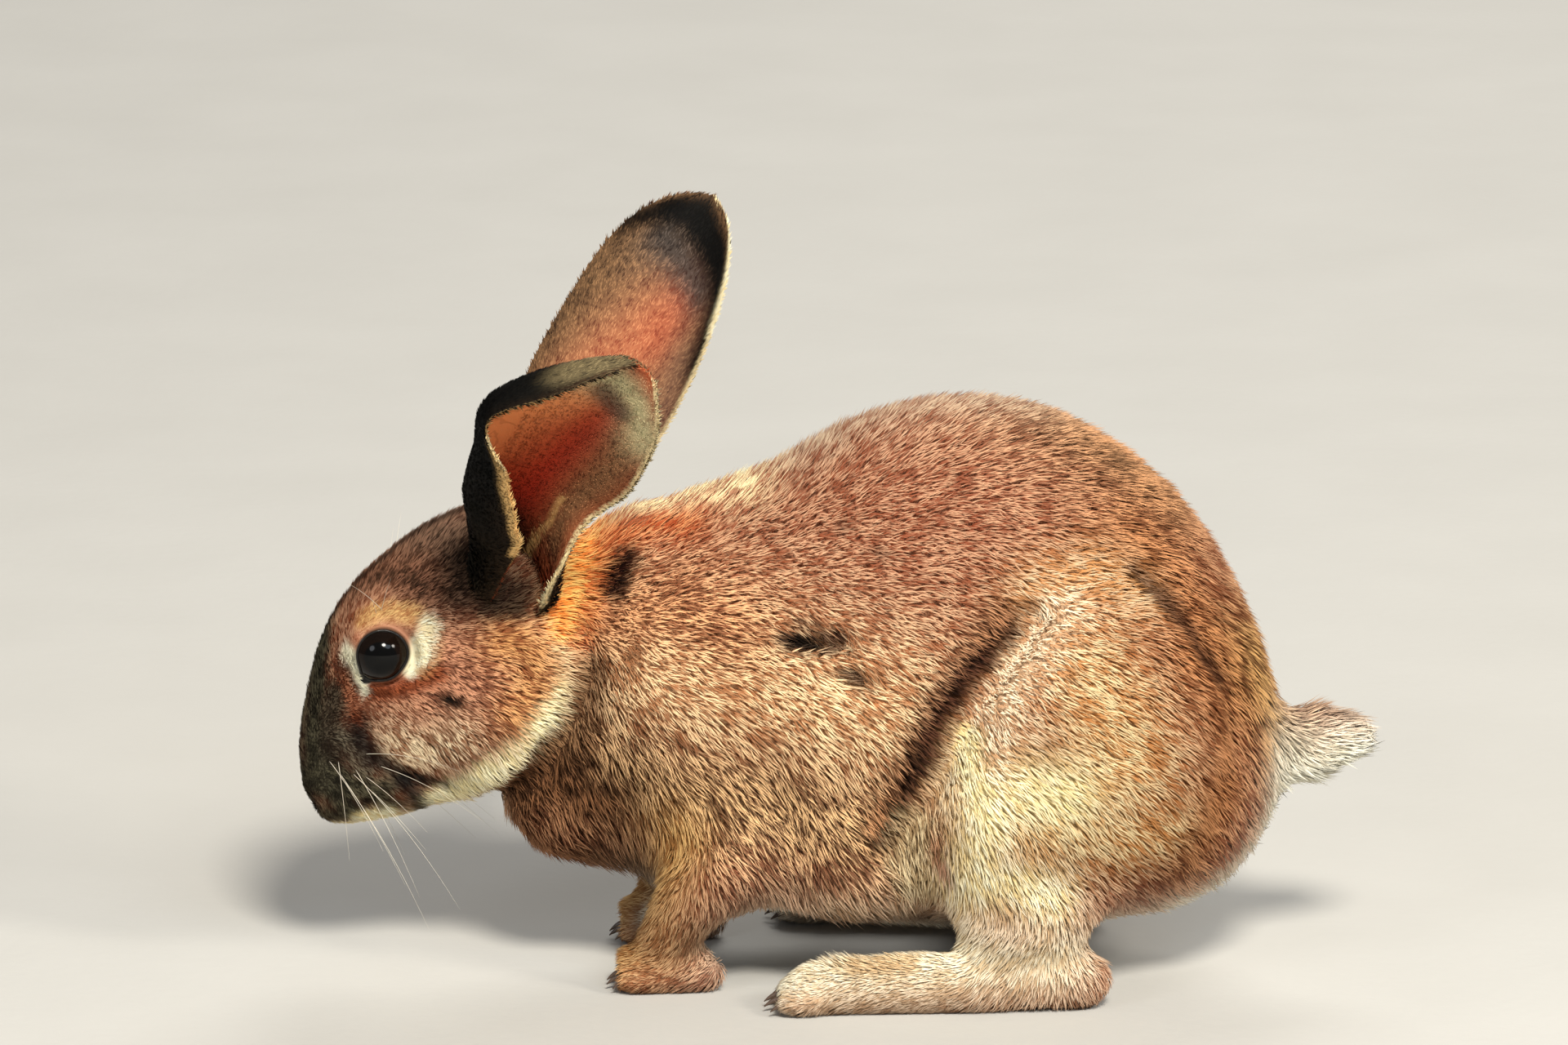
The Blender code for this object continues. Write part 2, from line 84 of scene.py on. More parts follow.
# Places on the hide: x, how far from the middle plane, and z. At each: the way the hair
# lies, where the second number points away from the middle; how deep the coat is; and how
# long its hair is. What lies between the places blends from them.
COAT = {
    "nose": ((-151, 3, 54), (0.3, 0.3, 0.9), 0.6, 1.6),
    "nose_side": ((-149, 7, 60), (0.45, 0.35, 0.8), 0.7, 1.9),
    "bridge": ((-146, 7, 86), (0.45, 0.15, 0.9), 1.1, 2.6),
    "front_of_eye": ((-141, 15, 84), (0.75, 0.3, 0.3), 1, 2.5),
    "forehead": ((-139, 6, 107), (0.6, 0.1, 0.78), 1.5, 3),
    "brow": ((-125, 21, 109), (0.85, 0.0, 0.5), 1.2, 2.8),
    "crown": ((-116, 6, 128), (0.85, 0.1, 0.5), 2, 3.6),
    "temple": ((-106, 24, 112), (0.93, 0.1, 0.3), 1.8, 3.2),
    "ear_foot": ((-92, 24, 118), (0.8, 0.2, 0.5), 2, 4),
    "behind_eye": ((-110, 25, 98), (0.98, 0.0, -0.1), 1.4, 2.8),
    "below_eye": ((-123, 23, 82), (0.92, 0.0, -0.35), 1.4, 2.7),
    "cheek": ((-107, 26, 84), (0.93, 0.0, -0.35), 2, 3.5),
    "cheek_low": ((-112, 21, 66), (0.75, 0.0, -0.65), 2.2, 3.8),
    "cheek_rear": ((-84, 25, 92), (0.95, 0.1, -0.25), 3, 5),
    "cheek_rear_low": ((-90, 20, 64), (0.75, 0.0, -0.65), 3.2, 6.2),
    "jaw": ((-104, 10, 51), (0.8, 0.1, -0.55), 2.6, 5.6),
    "muzzle": ((-137, 14, 60), (0.8, 0.2, -0.45), 1, 2.2),
    "upper_lip": ((-141, 9, 50), (0.6, 0.2, -0.75), 0.9, 2.2),
    "chin": ((-130, 6, 46), (0.85, 0.1, -0.5), 1.4, 3.2),
    "throat": ((-95, 6, 47), (0.8, 0.0, -0.6), 3.6, 6),
    "nape": ((-66, 6, 129), (0.98, 0.1, 0.2), 3.6, 5.8),
    "nape_side": ((-66, 22, 114), (0.95, 0.1, -0.25), 3.6, 5.8),
    "neck_side": ((-68, 26, 85), (0.85, 0.0, -0.5), 4, 6),
    "chest_side": ((-70, 22, 55), (0.55, 0.1, -0.83), 4.6, 7),
    "chest": ((-62, 10, 34), (0.6, 0.0, -0.8), 5, 7.8),
    "withers": ((-38, 4, 140), (0.97, 0.0, 0.25), 4, 5.1),
    "shoulder_top": ((-40, 22, 128), (0.97, 0.05, -0.15), 4.2, 5.2),
    "shoulder": ((-35, 32, 100), (0.95, 0.0, -0.3), 4.2, 5.2),
    "shoulder_low": ((-38, 36, 70), (0.8, 0.0, -0.6), 4.2, 5.5),
    "elbow": ((-28, 40, 50), (0.6, 0.0, -0.8), 3.4, 6),
    "back": ((10, 6, 155), (0.97, 0.0, 0.2), 4, 4.7),
    "back_top": ((40, 0, 166), (1.0, 0.0, 0.0), 4, 4.7),
    "side_top": ((10, 34, 130), (0.98, 0.0, -0.15), 4.2, 5),
    "flank": ((0, 43, 95), (0.93, 0.0, -0.35), 4.4, 5.4),
    "flank_low": ((2, 45, 60), (0.75, 0.0, -0.66), 4.8, 6.1),
    "flank_foot": ((4, 38, 30), (0.6, -0.2, -0.78), 5, 8),
    "belly": ((10, 8, 16), (0.95, 0.0, -0.1), 4.6, 8),
    "loin": ((85, 4, 152), (0.88, 0.0, -0.47), 4, 4.7),
    "loin_side": ((70, 36, 130), (0.93, 0.05, -0.35), 4, 4.9),
    "haunch_top": ((62, 44, 112), (0.9, 0.05, -0.42), 3.6, 5),
    "haunch_front": ((44, 50, 85), (0.86, 0.05, -0.48), 3.6, 5.2),
    "haunch": ((70, 52, 80), (0.9, 0.0, -0.42), 3.6, 5),
    "haunch_rear": ((98, 44, 85), (0.75, 0.0, -0.66), 3.8, 5.2),
    "haunch_low": ((75, 54, 50), (0.75, 0.0, -0.66), 3.6, 5.5),
    "shin": ((45, 54, 40), (0.5, 0.0, -0.86), 3.2, 6),
    "rump": ((112, 8, 115), (0.55, 0.0, -0.83), 4, 5.2),
    "rump_low": ((120, 12, 75), (0.2, 0.0, -0.98), 4.2, 6.8),
    "under_rump": ((100, 20, 28), (0.6, 0.0, -0.75), 4.4, 7.4),
    "tail_top": ((138, 2, 76), (1.0, 0.0, 0.1), 3.4, 7.4),
    "tail_end": ((151, 0, 66), (1.0, 0.0, 0.0), 3.4, 7.4),
    "tail_under": ((138, 3, 54), (1.0, 0.0, -0.15), 3.4, 7.4),
    "foreleg": ((-48, 28, 28), (-0.3, 0.0, -0.95), 2, 5),
    "forepaw": ((-58, 26, 9), (-0.95, 0.0, -0.25), 1.2, 3.2),
    "fore_toes": ((-65, 25, 5), (-1.0, 0.0, -0.15), 0.8, 2.2),
    "heel": ((74, 45, 10), (0.3, 0.0, -0.95), 1.8, 4.6),
    "hock": ((45, 47, 20), (-0.6, 0.0, -0.8), 2.2, 5.4),
    "hind_foot": ((25, 47, 15), (-0.97, 0.0, -0.2), 1.5, 4),
    "hind_toes": ((-14, 47, 8), (-1.0, 0.0, -0.2), 1, 2.8),
    "sole": ((25, 47, 0), (-1.0, 0.0, 0.0), 0.8, 2.4),
}
GUIDE_BLUR = 4.0
MIDDLE_BLEND = 4  # either side of the middle plane, where left turns to right
BEND_RANGE = -0.03, 0.12
# Folds of the skin: a path of places, how far to either side it reaches, and how deep it
# sinks, or stands if that is negative.
FOLDS = {
    "mouth": ([(-141.9, 0, 42), (-139, 7, 45), (-135.3, 11, 49.5), (-131, 14, 52.6)], 1.4, 1.8),
    "lip_roll": ([(-143, 8, 48.5), (-138, 12.5, 52.5), (-132, 15.5, 56)], 2.4, -0.7),
    "philtrum": ([(-149.5, 0, 46.5), (-142, 0, 42.5)], 1.3, 1.5),
    "nostril": ([(-150.4, 3, 48), (-150.2, 6.4, 51)], 1.2, 1.7),
    "nose_wing": ([(-150.5, 4, 53), (-148, 8, 54)], 1.6, -0.7),
    "cheek_edge": ([(-74, 24, 104), (-72, 26, 94), (-75, 26, 84), (-80, 24.5, 74),
                    (-86, 21, 62), (-97, 12, 50)], 4.5, 3.8),
    "cheek_ridge": ([(-84, 25, 98), (-82, 26, 88), (-86, 24.5, 76), (-93, 19, 62), (-102, 13, 53)],
                    6.5, -2.8),
    "cheek_under": ([(-133, 19, 76), (-131.5, 17.7, 66), (-124, 17.4, 60), (-112, 17, 57)], 3.2, 1.0),
    "tear_line": ([(-135, 20, 85), (-137, 17, 76)], 2.0, 0.5),
    "nape_pad": ([(-80, 12, 121), (-70, 9, 126), (-58, 6, 131)], 8.0, -1.8),
    "neck_pad": ([(-90, 10, 52), (-80, 15, 46)], 9.0, -4.5),
    "haunch_crease": ([(53, 45.8, 113.7), (48.4, 47.5, 107), (43.5, 48.4, 100.3), (38.3, 48.8, 93.4),
                       (33.3, 49, 85.7), (30, 49, 78), (27, 49, 70), (23, 49, 61.6), (18, 47.8, 53),
                       (14, 46, 44)], 5.2, 4.2),
    "haunch_edge": ([(68, 44, 116), (60, 48, 106), (52, 50.5, 92), (46, 52, 77), (42, 53, 60)],
                    8.0, -1.8),
    "haunch_back": ([(85, 36, 124), (96, 38.6, 113.5), (103.4, 40, 102.5), (109, 36, 92),
                     (112, 32, 74)], 4.5, 2.2),
    "elbow_crease": ([(-20, 40, 62), (-12, 41, 46), (-12, 38, 34)], 6.0, 2.6),
    "flank_nick": ([(-12.7, 39.5, 104.3), (-5.9, 41.2, 103.8), (-0.4, 42.1, 105.5)], 3.0, 2.6),
    "flank_nick_low": ([(1.4, 43.9, 96.1), (6.8, 45.2, 94.1)], 2.4, 1.8),
}
# Toes: where the middle ones end, the middle of the foot, and the way from gap to gap. A gap
# runs from one place to another, each given as how far behind the toe's end and how high.
TOE_ROWS = {"fore": (-62, 25, 4.5), "hind": (-17, 47, 5.25)}
TOE_GAP_ENDS = (-3, 2), (12, 5)
TOE_GAP_WIDTH = 0.9
TOE_GAP_DEPTH = 1.3
TOE_GAP_TALL = np.array([1, 1, 0.5])  # its height counts for half
FOOT_HEIGHT = 14
FOOT_HALF = 12
CLAW_ROOM = 9  # the solids' claws, up to so far ahead of the toes, are left out of the skin,
TOE_END = 0.3  # which ends flat so far behind the ends of the toes

# The colours of the coat: of the tips of the hair, then of its underfur. Some are partly painted shade, as
# marked.
PELTS = {
    "back": ((187, 142, 111), (118, 54, 31)),
    "back_top": ((189, 173, 147), (120, 67, 45)),
    "loin": ((206, 152, 106), (74, 64, 44)),
    "shoulder": ((221, 156, 106), (76, 22, 8)),
    "flank": ((247, 224, 178), (170, 108, 64)),
    "flank_low": ((233, 190, 138), (62, 32, 19)),
    # brown of the chest, made darker as painted shade under the head
    "chest": ((132, 90, 60), (36, 21, 11)),
    "haunch_top": ((199, 176, 142), (190, 128, 70)),
    "haunch_front": ((254, 240, 208), (186, 136, 94)),
    "haunch": ((219, 201, 155), (177, 113, 53)),
    "haunch_low": ((242, 232, 190), (230, 208, 146)),
    "haunch_rear": ((193, 130, 82), (82, 41, 20)),
    "rump": ((222, 176, 109), (27, 12, 7)),
    # fur in the fold before the thigh and in the nicks of the coat: dark underfur, darkened further as
    # painted shade
    "crease_underfur_and_shade": ((82, 50, 36), (3, 2, 2)),
    "crease_side_fur_and_shade": ((176, 122, 84), (56, 34, 22)),
    "cream": ((246, 242, 210), (232, 208, 146)),
    "white": ((244, 242, 226), (196, 188, 164)),
    "fluff": ((226, 206, 164), (140, 114, 78)),
    "nape": ((236, 190, 108), (234, 124, 48)),
    "nape_red": ((204, 135, 85), (147, 55, 23)),
    "nape_dark": ((32, 6, 2), (5, 2, 2)),
    "nape_rear": ((245, 237, 186), (160, 91, 67)),
    "cheek": ((204, 145, 112), (90, 50, 36)),
    "cheek_tan": ((253, 235, 196), (142, 86, 52)),
    "cheek_gold": ((216, 160, 102), (120, 62, 34)),
    "muzzle": ((66, 60, 49), (16, 14, 9)),
    "snout": ((82, 77, 60), (15, 12, 9)),
    "whisker_bed": ((102, 96, 80), (14, 13, 9)),
    # near black: painted shade under the cheek and jaw
    "shade_under_cheek": ((30, 30, 29), (2, 2, 2)),
    "forehead": ((132, 90, 69), (25, 21, 13)),
    "crown": ((124, 95, 76), (7, 6, 2)),
    "buff": ((204, 168, 110), (147, 92, 56)),
    "russet": ((147, 73, 41), (70, 30, 15)),
    "wedge_cream": ((255, 251, 226), (253, 246, 214)),
    "jaw_cream": ((255, 250, 214), (250, 232, 174)),
    "eye_cream": ((215, 220, 200), (216, 198, 155)),
    # dark fur at the foot of the ears, darker still as painted shadow of the ears
    "ear_foot": ((46, 37, 28), (9, 7, 5)),
    "black": ((16, 14, 11), (4, 4, 3)),
    "foot": ((250, 244, 218), (208, 184, 142)),
    "rust_foot": ((222, 180, 112), (156, 104, 52)),
}
# Markings, laid one over another: the pelt, the path it runs along, how far it reaches to
# either side, and how strongly it covers what is under it.
MARKINGS = [
    # back, shoulder, flank and chest
    ("loin", [(60, 0, 162), (95, 10, 145)], 24, 0.8),
    ("back_top", [(-10, 0, 150), (20, 0, 160), (50, 0, 166)], 15, 0.8),
    ("flank", [(-60, 30, 96), (-20, 38, 92), (14, 45, 84)], 24, 0.95),
    ("shoulder", [(-64, 25, 106), (-44, 31, 112), (-30, 33, 106)], 15, 0.85),
    ("flank_low", [(-74, 24, 68), (-40, 38, 58), (8, 45, 50)], 18, 0.95),
    # the chest's brown, darker as painted shade under the head and neck
    ("chest", [(-88, 18, 59), (-77, 25, 57), (-66, 28, 54)], 13, 1),
    ("chest", [(-82, 12, 44), (-62, 14, 34), (-44, 22, 28)], 17, 0.95),
    # haunch and rump, with the fold before the thigh and the nicks in the coat, whose dark is partly
    # underfur that shows there and partly painted shade
    ("haunch_rear", [(86, 34, 130), (106, 36, 110), (114, 26, 90)], 18, 0.9),
    ("rump", [(118, 12, 92), (122, 10, 68)], 16, 0.75),
    ("haunch", [(64, 48, 104), (76, 53, 88), (80, 54, 74)], 18, 0.95),
    ("haunch", [(60, 54, 54), (80, 54, 50), (96, 48, 50)], 12, 0.85),
    ("haunch_rear", [(106, 38, 58), (100, 40, 36)], 11, 0.8),
    ("haunch_low", [(40, 53, 64), (50, 55.5, 66), (64, 57, 64)], 11, 0.95),
    ("haunch_top", [(57.7, 43.5, 120.4), (72.3, 39.7, 125), (85, 40.7, 119.7)], 9, 0.9),
    ("haunch_front", [(64, 45, 113), (57, 49, 104), (50, 51, 91), (45, 52, 78), (41, 53, 66)],
     8.5, 1),
    ("haunch_rear", [(98, 44, 100), (106, 40, 82), (104, 36, 62)], 10, 0.85),
    # painted shade in the fold before the thigh, darkest at its bottom, over underfur that shows there
    ("crease_side_fur_and_shade", [(46, 46, 112), (38, 47.7, 99), (29, 48.5, 86), (23.5, 48.6, 74), (19.5, 48.4, 64),
                     (13, 47, 52)], 6.5, 0.9),
    ("crease_underfur_and_shade", [(54, 45.5, 115), (47.4, 47.5, 107.1), (41, 48.4, 98)], 3.2, 0.9),
    ("crease_underfur_and_shade", [(41.5, 48.4, 100.3), (36, 48.8, 93.4), (31, 49.1, 85.7), (28, 49.1, 78.2),
                (25.6, 49.4, 69)], 5.2, 1),
    ("crease_underfur_and_shade", [(26, 49.4, 71), (21.6, 49, 61.6), (17.5, 47.8, 53), (14, 46.2, 46.5)], 3.4, 1),
    ("haunch_front", [(62, 45.5, 115), (58, 48, 110.5), (53.6, 49.5, 104), (50, 50, 98.8),
                      (45.5, 50.5, 92), (41.5, 50.5, 85), (38.8, 51, 78), (37.8, 51.5, 70),
                      (35.5, 52, 62)], 5.6, 0.9),
    ("haunch_low", [(37, 49, 78), (37, 50.5, 71), (39, 53, 65), (42, 55, 58)], 5.0, 0.95),
    # more painted shade in the fold before the thigh
    ("crease_underfur_and_shade", [(48.7, 41.5, 107.6), (37.4, 43, 96.4), (28.3, 44, 84.9), (24.2, 44.5, 79.1),
                (21, 44.5, 72), (18.8, 43.6, 64.7), (16.5, 41.7, 57.1), (15.2, 39.2, 49.3)], 4.2, 0.9),
    # painted shade in the fold behind the haunch
    ("crease_underfur_and_shade", [(85, 35.8, 124), (96, 38.6, 113.5), (103.4, 39.9, 102.5), (109, 35.8, 92)], 3.4, 0.85),
    # painted shade in the nicks of the flank's coat, black at the deepest, over underfur that shows there
    ("crease_underfur_and_shade", [(-14, 37.5, 104.6), (-5.9, 39, 104.2), (1, 40.2, 105.5)], 3.2, 1),
    ("black", [(-13, 37.4, 103.6), (-6, 38.4, 104)], 2.8, 0.95),
    ("crease_underfur_and_shade", [(-10, 38.4, 110), (-4, 39.6, 109.6)], 1.5, 0.9),
    ("crease_underfur_and_shade", [(1.4, 42.6, 96.1), (6.8, 43.8, 94.1)], 2.2, 0.9),
    ("crease_underfur_and_shade", [(1, 31.5, 136.8), (4, 32.3, 135.8)], 1.6, 0.6),
    ("crease_underfur_and_shade", [(11, 37, 130), (14, 37.5, 129.4)], 1.5, 0.6),
    ("cream", [(30, 50, 34), (46, 56, 38), (60, 54, 34)], 8, 0.9),
    ("cream", [(38, 54, 46), (42, 56, 54), (41, 54.6, 61)], 8, 0.9),
    ("fluff", [(21.5, 48, 52), (19.7, 46, 44), (22, 42, 32)], 6, 0.9),
    ("russet", [(27, 48.5, 50), (30, 48.5, 36)], 2.6, 0.75),
    # painted shade low in the fold before the thigh
    ("crease_underfur_and_shade", [(20.5, 43.5, 66), (18.6, 42.4, 59), (16, 41, 53), (14, 39.5, 47)], 3.2, 0.9),
    # belly, feet and tail
    ("white", [(-30, 4, 18), (20, 4, 12), (70, 6, 12)], 22, 1),
    ("white", [(100, 14, 26), (116, 8, 42), (124, 4, 54)], 12, 0.9),
    ("foot", [(-16, 47, 10), (20, 47, 14), (60, 46, 16)], 13, 1),
    ("rust_foot", [(4, 50, 16), (18, 50, 16)], 5, 0.5),
    ("rust_foot", [(-44, 36, 46), (-50, 27, 14), (-62, 25, 8)], 10, 0.75),
    ("white", [(-36, 18, 20), (-52, 17, 8)], 5, 0.7),
    ("white", [(-20, 40, 2), (70, 40, 2)], 5, 0.5),
    ("white", [(132, 6, 58), (152, 5, 62)], 14, 1),
    ("crown", [(132, 0, 80), (150, 0, 77)], 4, 0.7),
    # nape
    ("nape_rear", [(-56, 2, 133), (-34, 4, 140), (-26, 8, 141)], 9, 0.9),
    ("nape_red", [(-58.6, 11, 129), (-51.7, 11.5, 132), (-42.5, 14.5, 133.5)], 7.5, 0.95),
    ("nape", [(-84, 6, 127), (-72, 5, 129)], 8, 0.9),
    ("nape", [(-74, 15.3, 121.2), (-76.8, 21.1, 113.2), (-75.6, 23.8, 104)], 5, 1),
    ("nape", [(-70, 10, 126), (-67.7, 14.4, 122.2), (-69.5, 20.4, 115.4), (-72.6, 23.9, 107)], 5, 1),
    ("nape_red", [(-64, 8, 130), (-64.5, 17.5, 121), (-68, 23, 110), (-71, 24.5, 101)], 4.2, 0.8),
    ("nape_dark", [(-58.5, 17.6, 124.2), (-60.3, 20.4, 120.1), (-61.8, 22.7, 116)], 4.5, 1),
    # cheek and jaw
    ("cheek", [(-108, 26, 90), (-106, 26, 78)], 18, 1),
    ("cheek_tan", [(-122.5, 20.3, 69), (-116, 20.5, 67), (-105, 24, 72)], 7.5, 0.9),
    ("cheek_gold", [(-92, 25, 101), (-84, 24.5, 98), (-84, 24.5, 88), (-88, 25, 80)], 8.5, 1),
    # painted shade: a dark line behind the ruff of the cheek, over the brown of the neck
    ("chest", [(-66.5, 26.5, 91), (-66.5, 27, 80), (-72, 26, 68), (-79.5, 22, 59.5), (-87, 16.5, 52.5)],
     6.2, 0.8),
    ("cream", [(-77.5, 23.5, 98), (-76, 24, 91)], 3.4, 0.35),
    ("jaw_cream", [(-76.5, 24, 87), (-78, 24, 82), (-81.5, 23.5, 76)], 3.8, 0.7),
    ("jaw_cream", [(-81.5, 23, 78), (-86, 22, 72), (-90.5, 22, 66.5), (-96, 21, 62),
                   (-102, 17, 57.5), (-107.5, 12, 54), (-113, 9.5, 51)], 5.4, 1),
    ("cream", [(-104, 0, 47), (-124, 0, 44)], 9, 0.8),
    # crown, snout and muzzle
    ("crown", [(-118, 8, 128), (-104, 12, 130), (-96, 4, 132)], 13, 1),
    ("crown", [(-110, 10, 129), (-106.5, 21, 122.6), (-106.4, 24, 115)], 7, 0.95),
    ("forehead", [(-134, 6, 112), (-127.5, 9.9, 117.5), (-120.4, 15.4, 118.9), (-115.7, 20.5, 116)],
     7.5, 1),
    ("snout", [(-145, 6, 95), (-147, 8.2, 83.8), (-148, 9.6, 69.9), (-147, 10.5, 58)], 6.5, 1),
    ("snout", [(-145, 0, 98), (-151, 0, 70), (-150, 0, 50)], 8, 1),
    # painted shade: black along the middle of crown, forehead and bridge, where the head's top outline lies
    # in shade
    ("black", [(-106, 0, 133), (-122, 0, 126), (-136, 0, 112), (-145, 0, 98)], 3.6, 0.85),
    ("muzzle", [(-141.4, 14.9, 83.2), (-142.7, 13.8, 71), (-141.6, 13.6, 59)], 4.8, 0.95),
    ("whisker_bed", [(-138, 16.1, 70.4), (-135.7, 16.3, 64.5), (-133.5, 16.2, 60.9)], 4.0, 0.9),
    # painted shade under the bulge of the cheek, along the muzzle
    ("shade_under_cheek", [(-134.5, 16.7, 76), (-133.4, 16.3, 70.5), (-130, 16, 65), (-124, 15.2, 61.5),
                   (-117, 14, 58.5)], 4.2, 0.95),
    ("shade_under_cheek", [(-117, 14, 58.5), (-108, 13, 56.5)], 2.6, 0.9),
    ("snout", [(-149, 4, 56), (-144, 12.1, 56.2), (-139.4, 13.7, 51.9), (-137.2, 12.3, 47.9)], 6, 1),
    ("snout", [(-142, 13, 58), (-134, 14, 56), (-127, 14, 56)], 5, 1),
    ("snout", [(-146, 3, 46), (-142, 8, 47)], 5, 1),
    ("snout", [(-132, 14, 55), (-127.8, 12.5, 50.5), (-124.5, 13, 48.5)], 4, 0.95),
    # round the eye, the foot of the ear, and the lips
    ("russet", [(-130.8, 21.7, 85.5), (-125, 23.5, 86.6), (-118, 25, 88.7), (-112.3, 25.5, 91.9)],
     3.6, 0.95),
    ("russet", [(-139.8, 18, 91), (-137.1, 18.2, 84.1), (-135.3, 18.3, 77)], 2.2, 0.6),
    ("buff", [(-133.6, 20.1, 106.6), (-129, 20.4, 108.8), (-123.7, 20.9, 108.9), (-118.4, 22.7, 108)],
     3.4, 0.95),
    ("buff", [(-112, 23.5, 104), (-112.5, 24.3, 97), (-116, 24, 92.3)], 2.6, 0.6),
    ("eye_cream", [(-114, 23, 105), (-115, 23.6, 101), (-116.2, 23.6, 97)], 3.7, 1),
    ("eye_cream", [(-117.6, 23, 100), (-118, 22.8, 96.5), (-119.8, 22.8, 92.2)], 2.4, 1),
    ("wedge_cream", [(-137.6, 20.3, 96), (-135.7, 22.4, 95.2), (-134.9, 23, 92.8)], 3.6, 1),
    ("wedge_cream", [(-135.4, 23, 95), (-134.8, 22.8, 92), (-134, 21.5, 89)], 2.4, 1),
    ("wedge_cream", [(-134.2, 21.2, 89), (-132.9, 19.8, 85)], 1.5, 1),
    ("black", [(-108.8, 25.7, 84.2), (-106.2, 26.1, 83.6)], 2.2, 1),
    # painted shadow of the ears on the dark fur at their foot
    ("ear_foot", [(-102, 18, 124), (-97, 26, 117), (-87, 27, 116)], 8, 1),
    ("ear_foot", [(-97.3, 25.2, 110.7), (-89, 24.5, 110.6)], 3.6, 0.8),
    ("black", [(-146, 2, 43), (-138, 8, 46), (-132, 13, 51)], 1.6, 0.8),
    ("cream", [(-134.5, 9.5, 46), (-127, 9.5, 47.5)], 3.2, 1),
    ("cream", [(-139, 3, 41), (-128, 5, 45)], 4.2, 0.95),
    # painted shade under the jaw, before the throat
    ("shade_under_cheek", [(-122, 15, 58), (-119, 12.5, 53), (-118, 5, 48)], 3.2, 0.95),
]
GROUND_PELT = "back"
NARROW = 7


def merged_solids(names, swell):
    """The named solids in one mesh, each moved out along its normals by swell."""
    whole = bmesh.new()
    for name in names:
        solid = bmesh.new()
        solid.from_mesh(frame["nodes"][name].data)
        bmesh.ops.remove_doubles(solid, verts=solid.verts, dist=1e-6)
        solid.normal_update()
        for point in solid.verts:
            point.co += point.normal * swell * MM
        swollen = bpy.data.meshes.new(name + "_swollen")
        solid.to_mesh(swollen)
        solid.free()
        whole.from_mesh(swollen)
        bpy.data.meshes.remove(swollen)
    merged = bpy.data.meshes.new("skin_former")
    whole.to_mesh(merged)
    whole.free()
    return merged


def numbers(items, field, width, kind=float):
    """One field of a mesh's items, as an array with that many columns."""
    found = np.empty(len(items) * width, kind)
    items.foreach_get(field, found)
    return found.reshape(-1, width)


def grown_together(mesh):
    """The mesh as one surface of even squares: its points in mm and its faces."""
    former = bpy.data.objects.new("skin_former", mesh)
    bpy.context.scene.collection.objects.link(former)
    grow = former.modifiers.new("grow", "REMESH")
    grow.mode = "VOXEL"
    grow.voxel_size = SKIN_GRAIN * MM
    grown = former.evaluated_get(bpy.context.evaluated_depsgraph_get()).to_mesh()
    points = numbers(grown.vertices, "co", 3) / MM
    squares = numbers(grown.loops, "vertex_index", 1, np.int32).reshape(-1, 4)
    bpy.data.objects.remove(former)
    return points, squares


def summed(indices, values, size):
    """For each of size places, the sum of the rows of values that the indices send there."""
    return np.stack([np.bincount(indices, column, size) for column in values.T], 1)


def unit(vectors):
    """Vectors divided by their length."""
    return vectors / np.maximum(np.linalg.norm(vectors, axis=-1, keepdims=True), 1e-9)


def edge_ends(squares):
    """Both ends of each side of each square."""
    return squares.T.ravel(), np.roll(squares, -1, axis=1).T.ravel()


def relaxed(points, squares, rounds):
    """Points drawn halfway to the mean of their neighbours, that many times."""
    starts, ends = edge_ends(squares)
    count = np.bincount(starts, minlength=len(points))[:, None]
    for _ in range(rounds):
        points = (points + summed(starts, points[ends], len(points)) / count) / 2
    return points


def facing(points, squares):
    """The cross product of each square's diagonals: along its normal, and twice its area long."""
    a, b, c, d = (points[squares[:, k]] for k in range(4))
    return np.cross(c - a, d - b)


def outward(points, squares):
    """Unit normals: the sum, round each point, of the ways that its squares face."""
    return unit(summed(squares.T.ravel(), np.tile(facing(points, squares), (4, 1)), len(points)))


def sided(points):
    """Places as the tables give them: x, distance from the middle plane, z."""
    return np.column_stack([points[:, 0], np.abs(points[:, 1] - MIDDLE), points[:, 2]])


def path_distance(places, path):
    """How far each place is from a path of straight pieces: the least over the pieces of
    |p - a - t (b - a)|, with t the share of the piece that is nearest, from 0 to 1."""
    path = np.array(path, float)
    nearest = np.full(len(places), np.inf)
    for a, b in zip(path, path[1:]):
        t = np.clip((places - a) @ (b - a) / ((b - a) @ (b - a)), 0, 1)
        nearest = np.minimum(nearest, np.linalg.norm(places - a - t[:, None] * (b - a), axis=1))
    return nearest


def ease(low, high, x):
    """0 below low, 1 above high, and 3 t² - 2 t³ between."""
    t = np.clip((x - low) / (high - low), 0, 1)
    return t * t * (3 - 2 * t)


def sink(places):
    """How far the skin sinks: the sum of each fold's depth times exp(-(distance / reach)²)."""
    total = np.zeros(len(places))
    for path, reach, depth in FOLDS.values():
        total += depth * np.exp(-((path_distance(places, path) / reach) ** 2))
    for tip, middle, step in TOE_ROWS.values():
        for gap in (-1, 0, 1):
            line = [(tip + behind, middle + gap * step, high) for behind, high in TOE_GAP_ENDS]
            near = path_distance(places * TOE_GAP_TALL, line) / TOE_GAP_WIDTH
            total += TOE_GAP_DEPTH * np.exp(-(near**2))
    return total


def from_guides(places, column):
    """A column of the coat's table between its places: sum of w v / sum of w, with
    w = 1 / (distance² + blur²)²."""
    total, weights = 0, 0
    for guide in COAT.values():
        near = ((places - guide[0]) ** 2).sum(1)
        weight = 1 / (near + GUIDE_BLUR**2) ** 2
        total = total + weight[:, None] * np.atleast_1d(guide[column])
        weights = weights + weight
    return total / weights[:, None]


def linear(colour):
    """A colour of 0 to 255 steps as shares of light: ((c / 255 + 0.055) / 1.055)^2.4."""
    return ((np.array(colour) / 255 + 0.055) / 1.055) ** 2.4


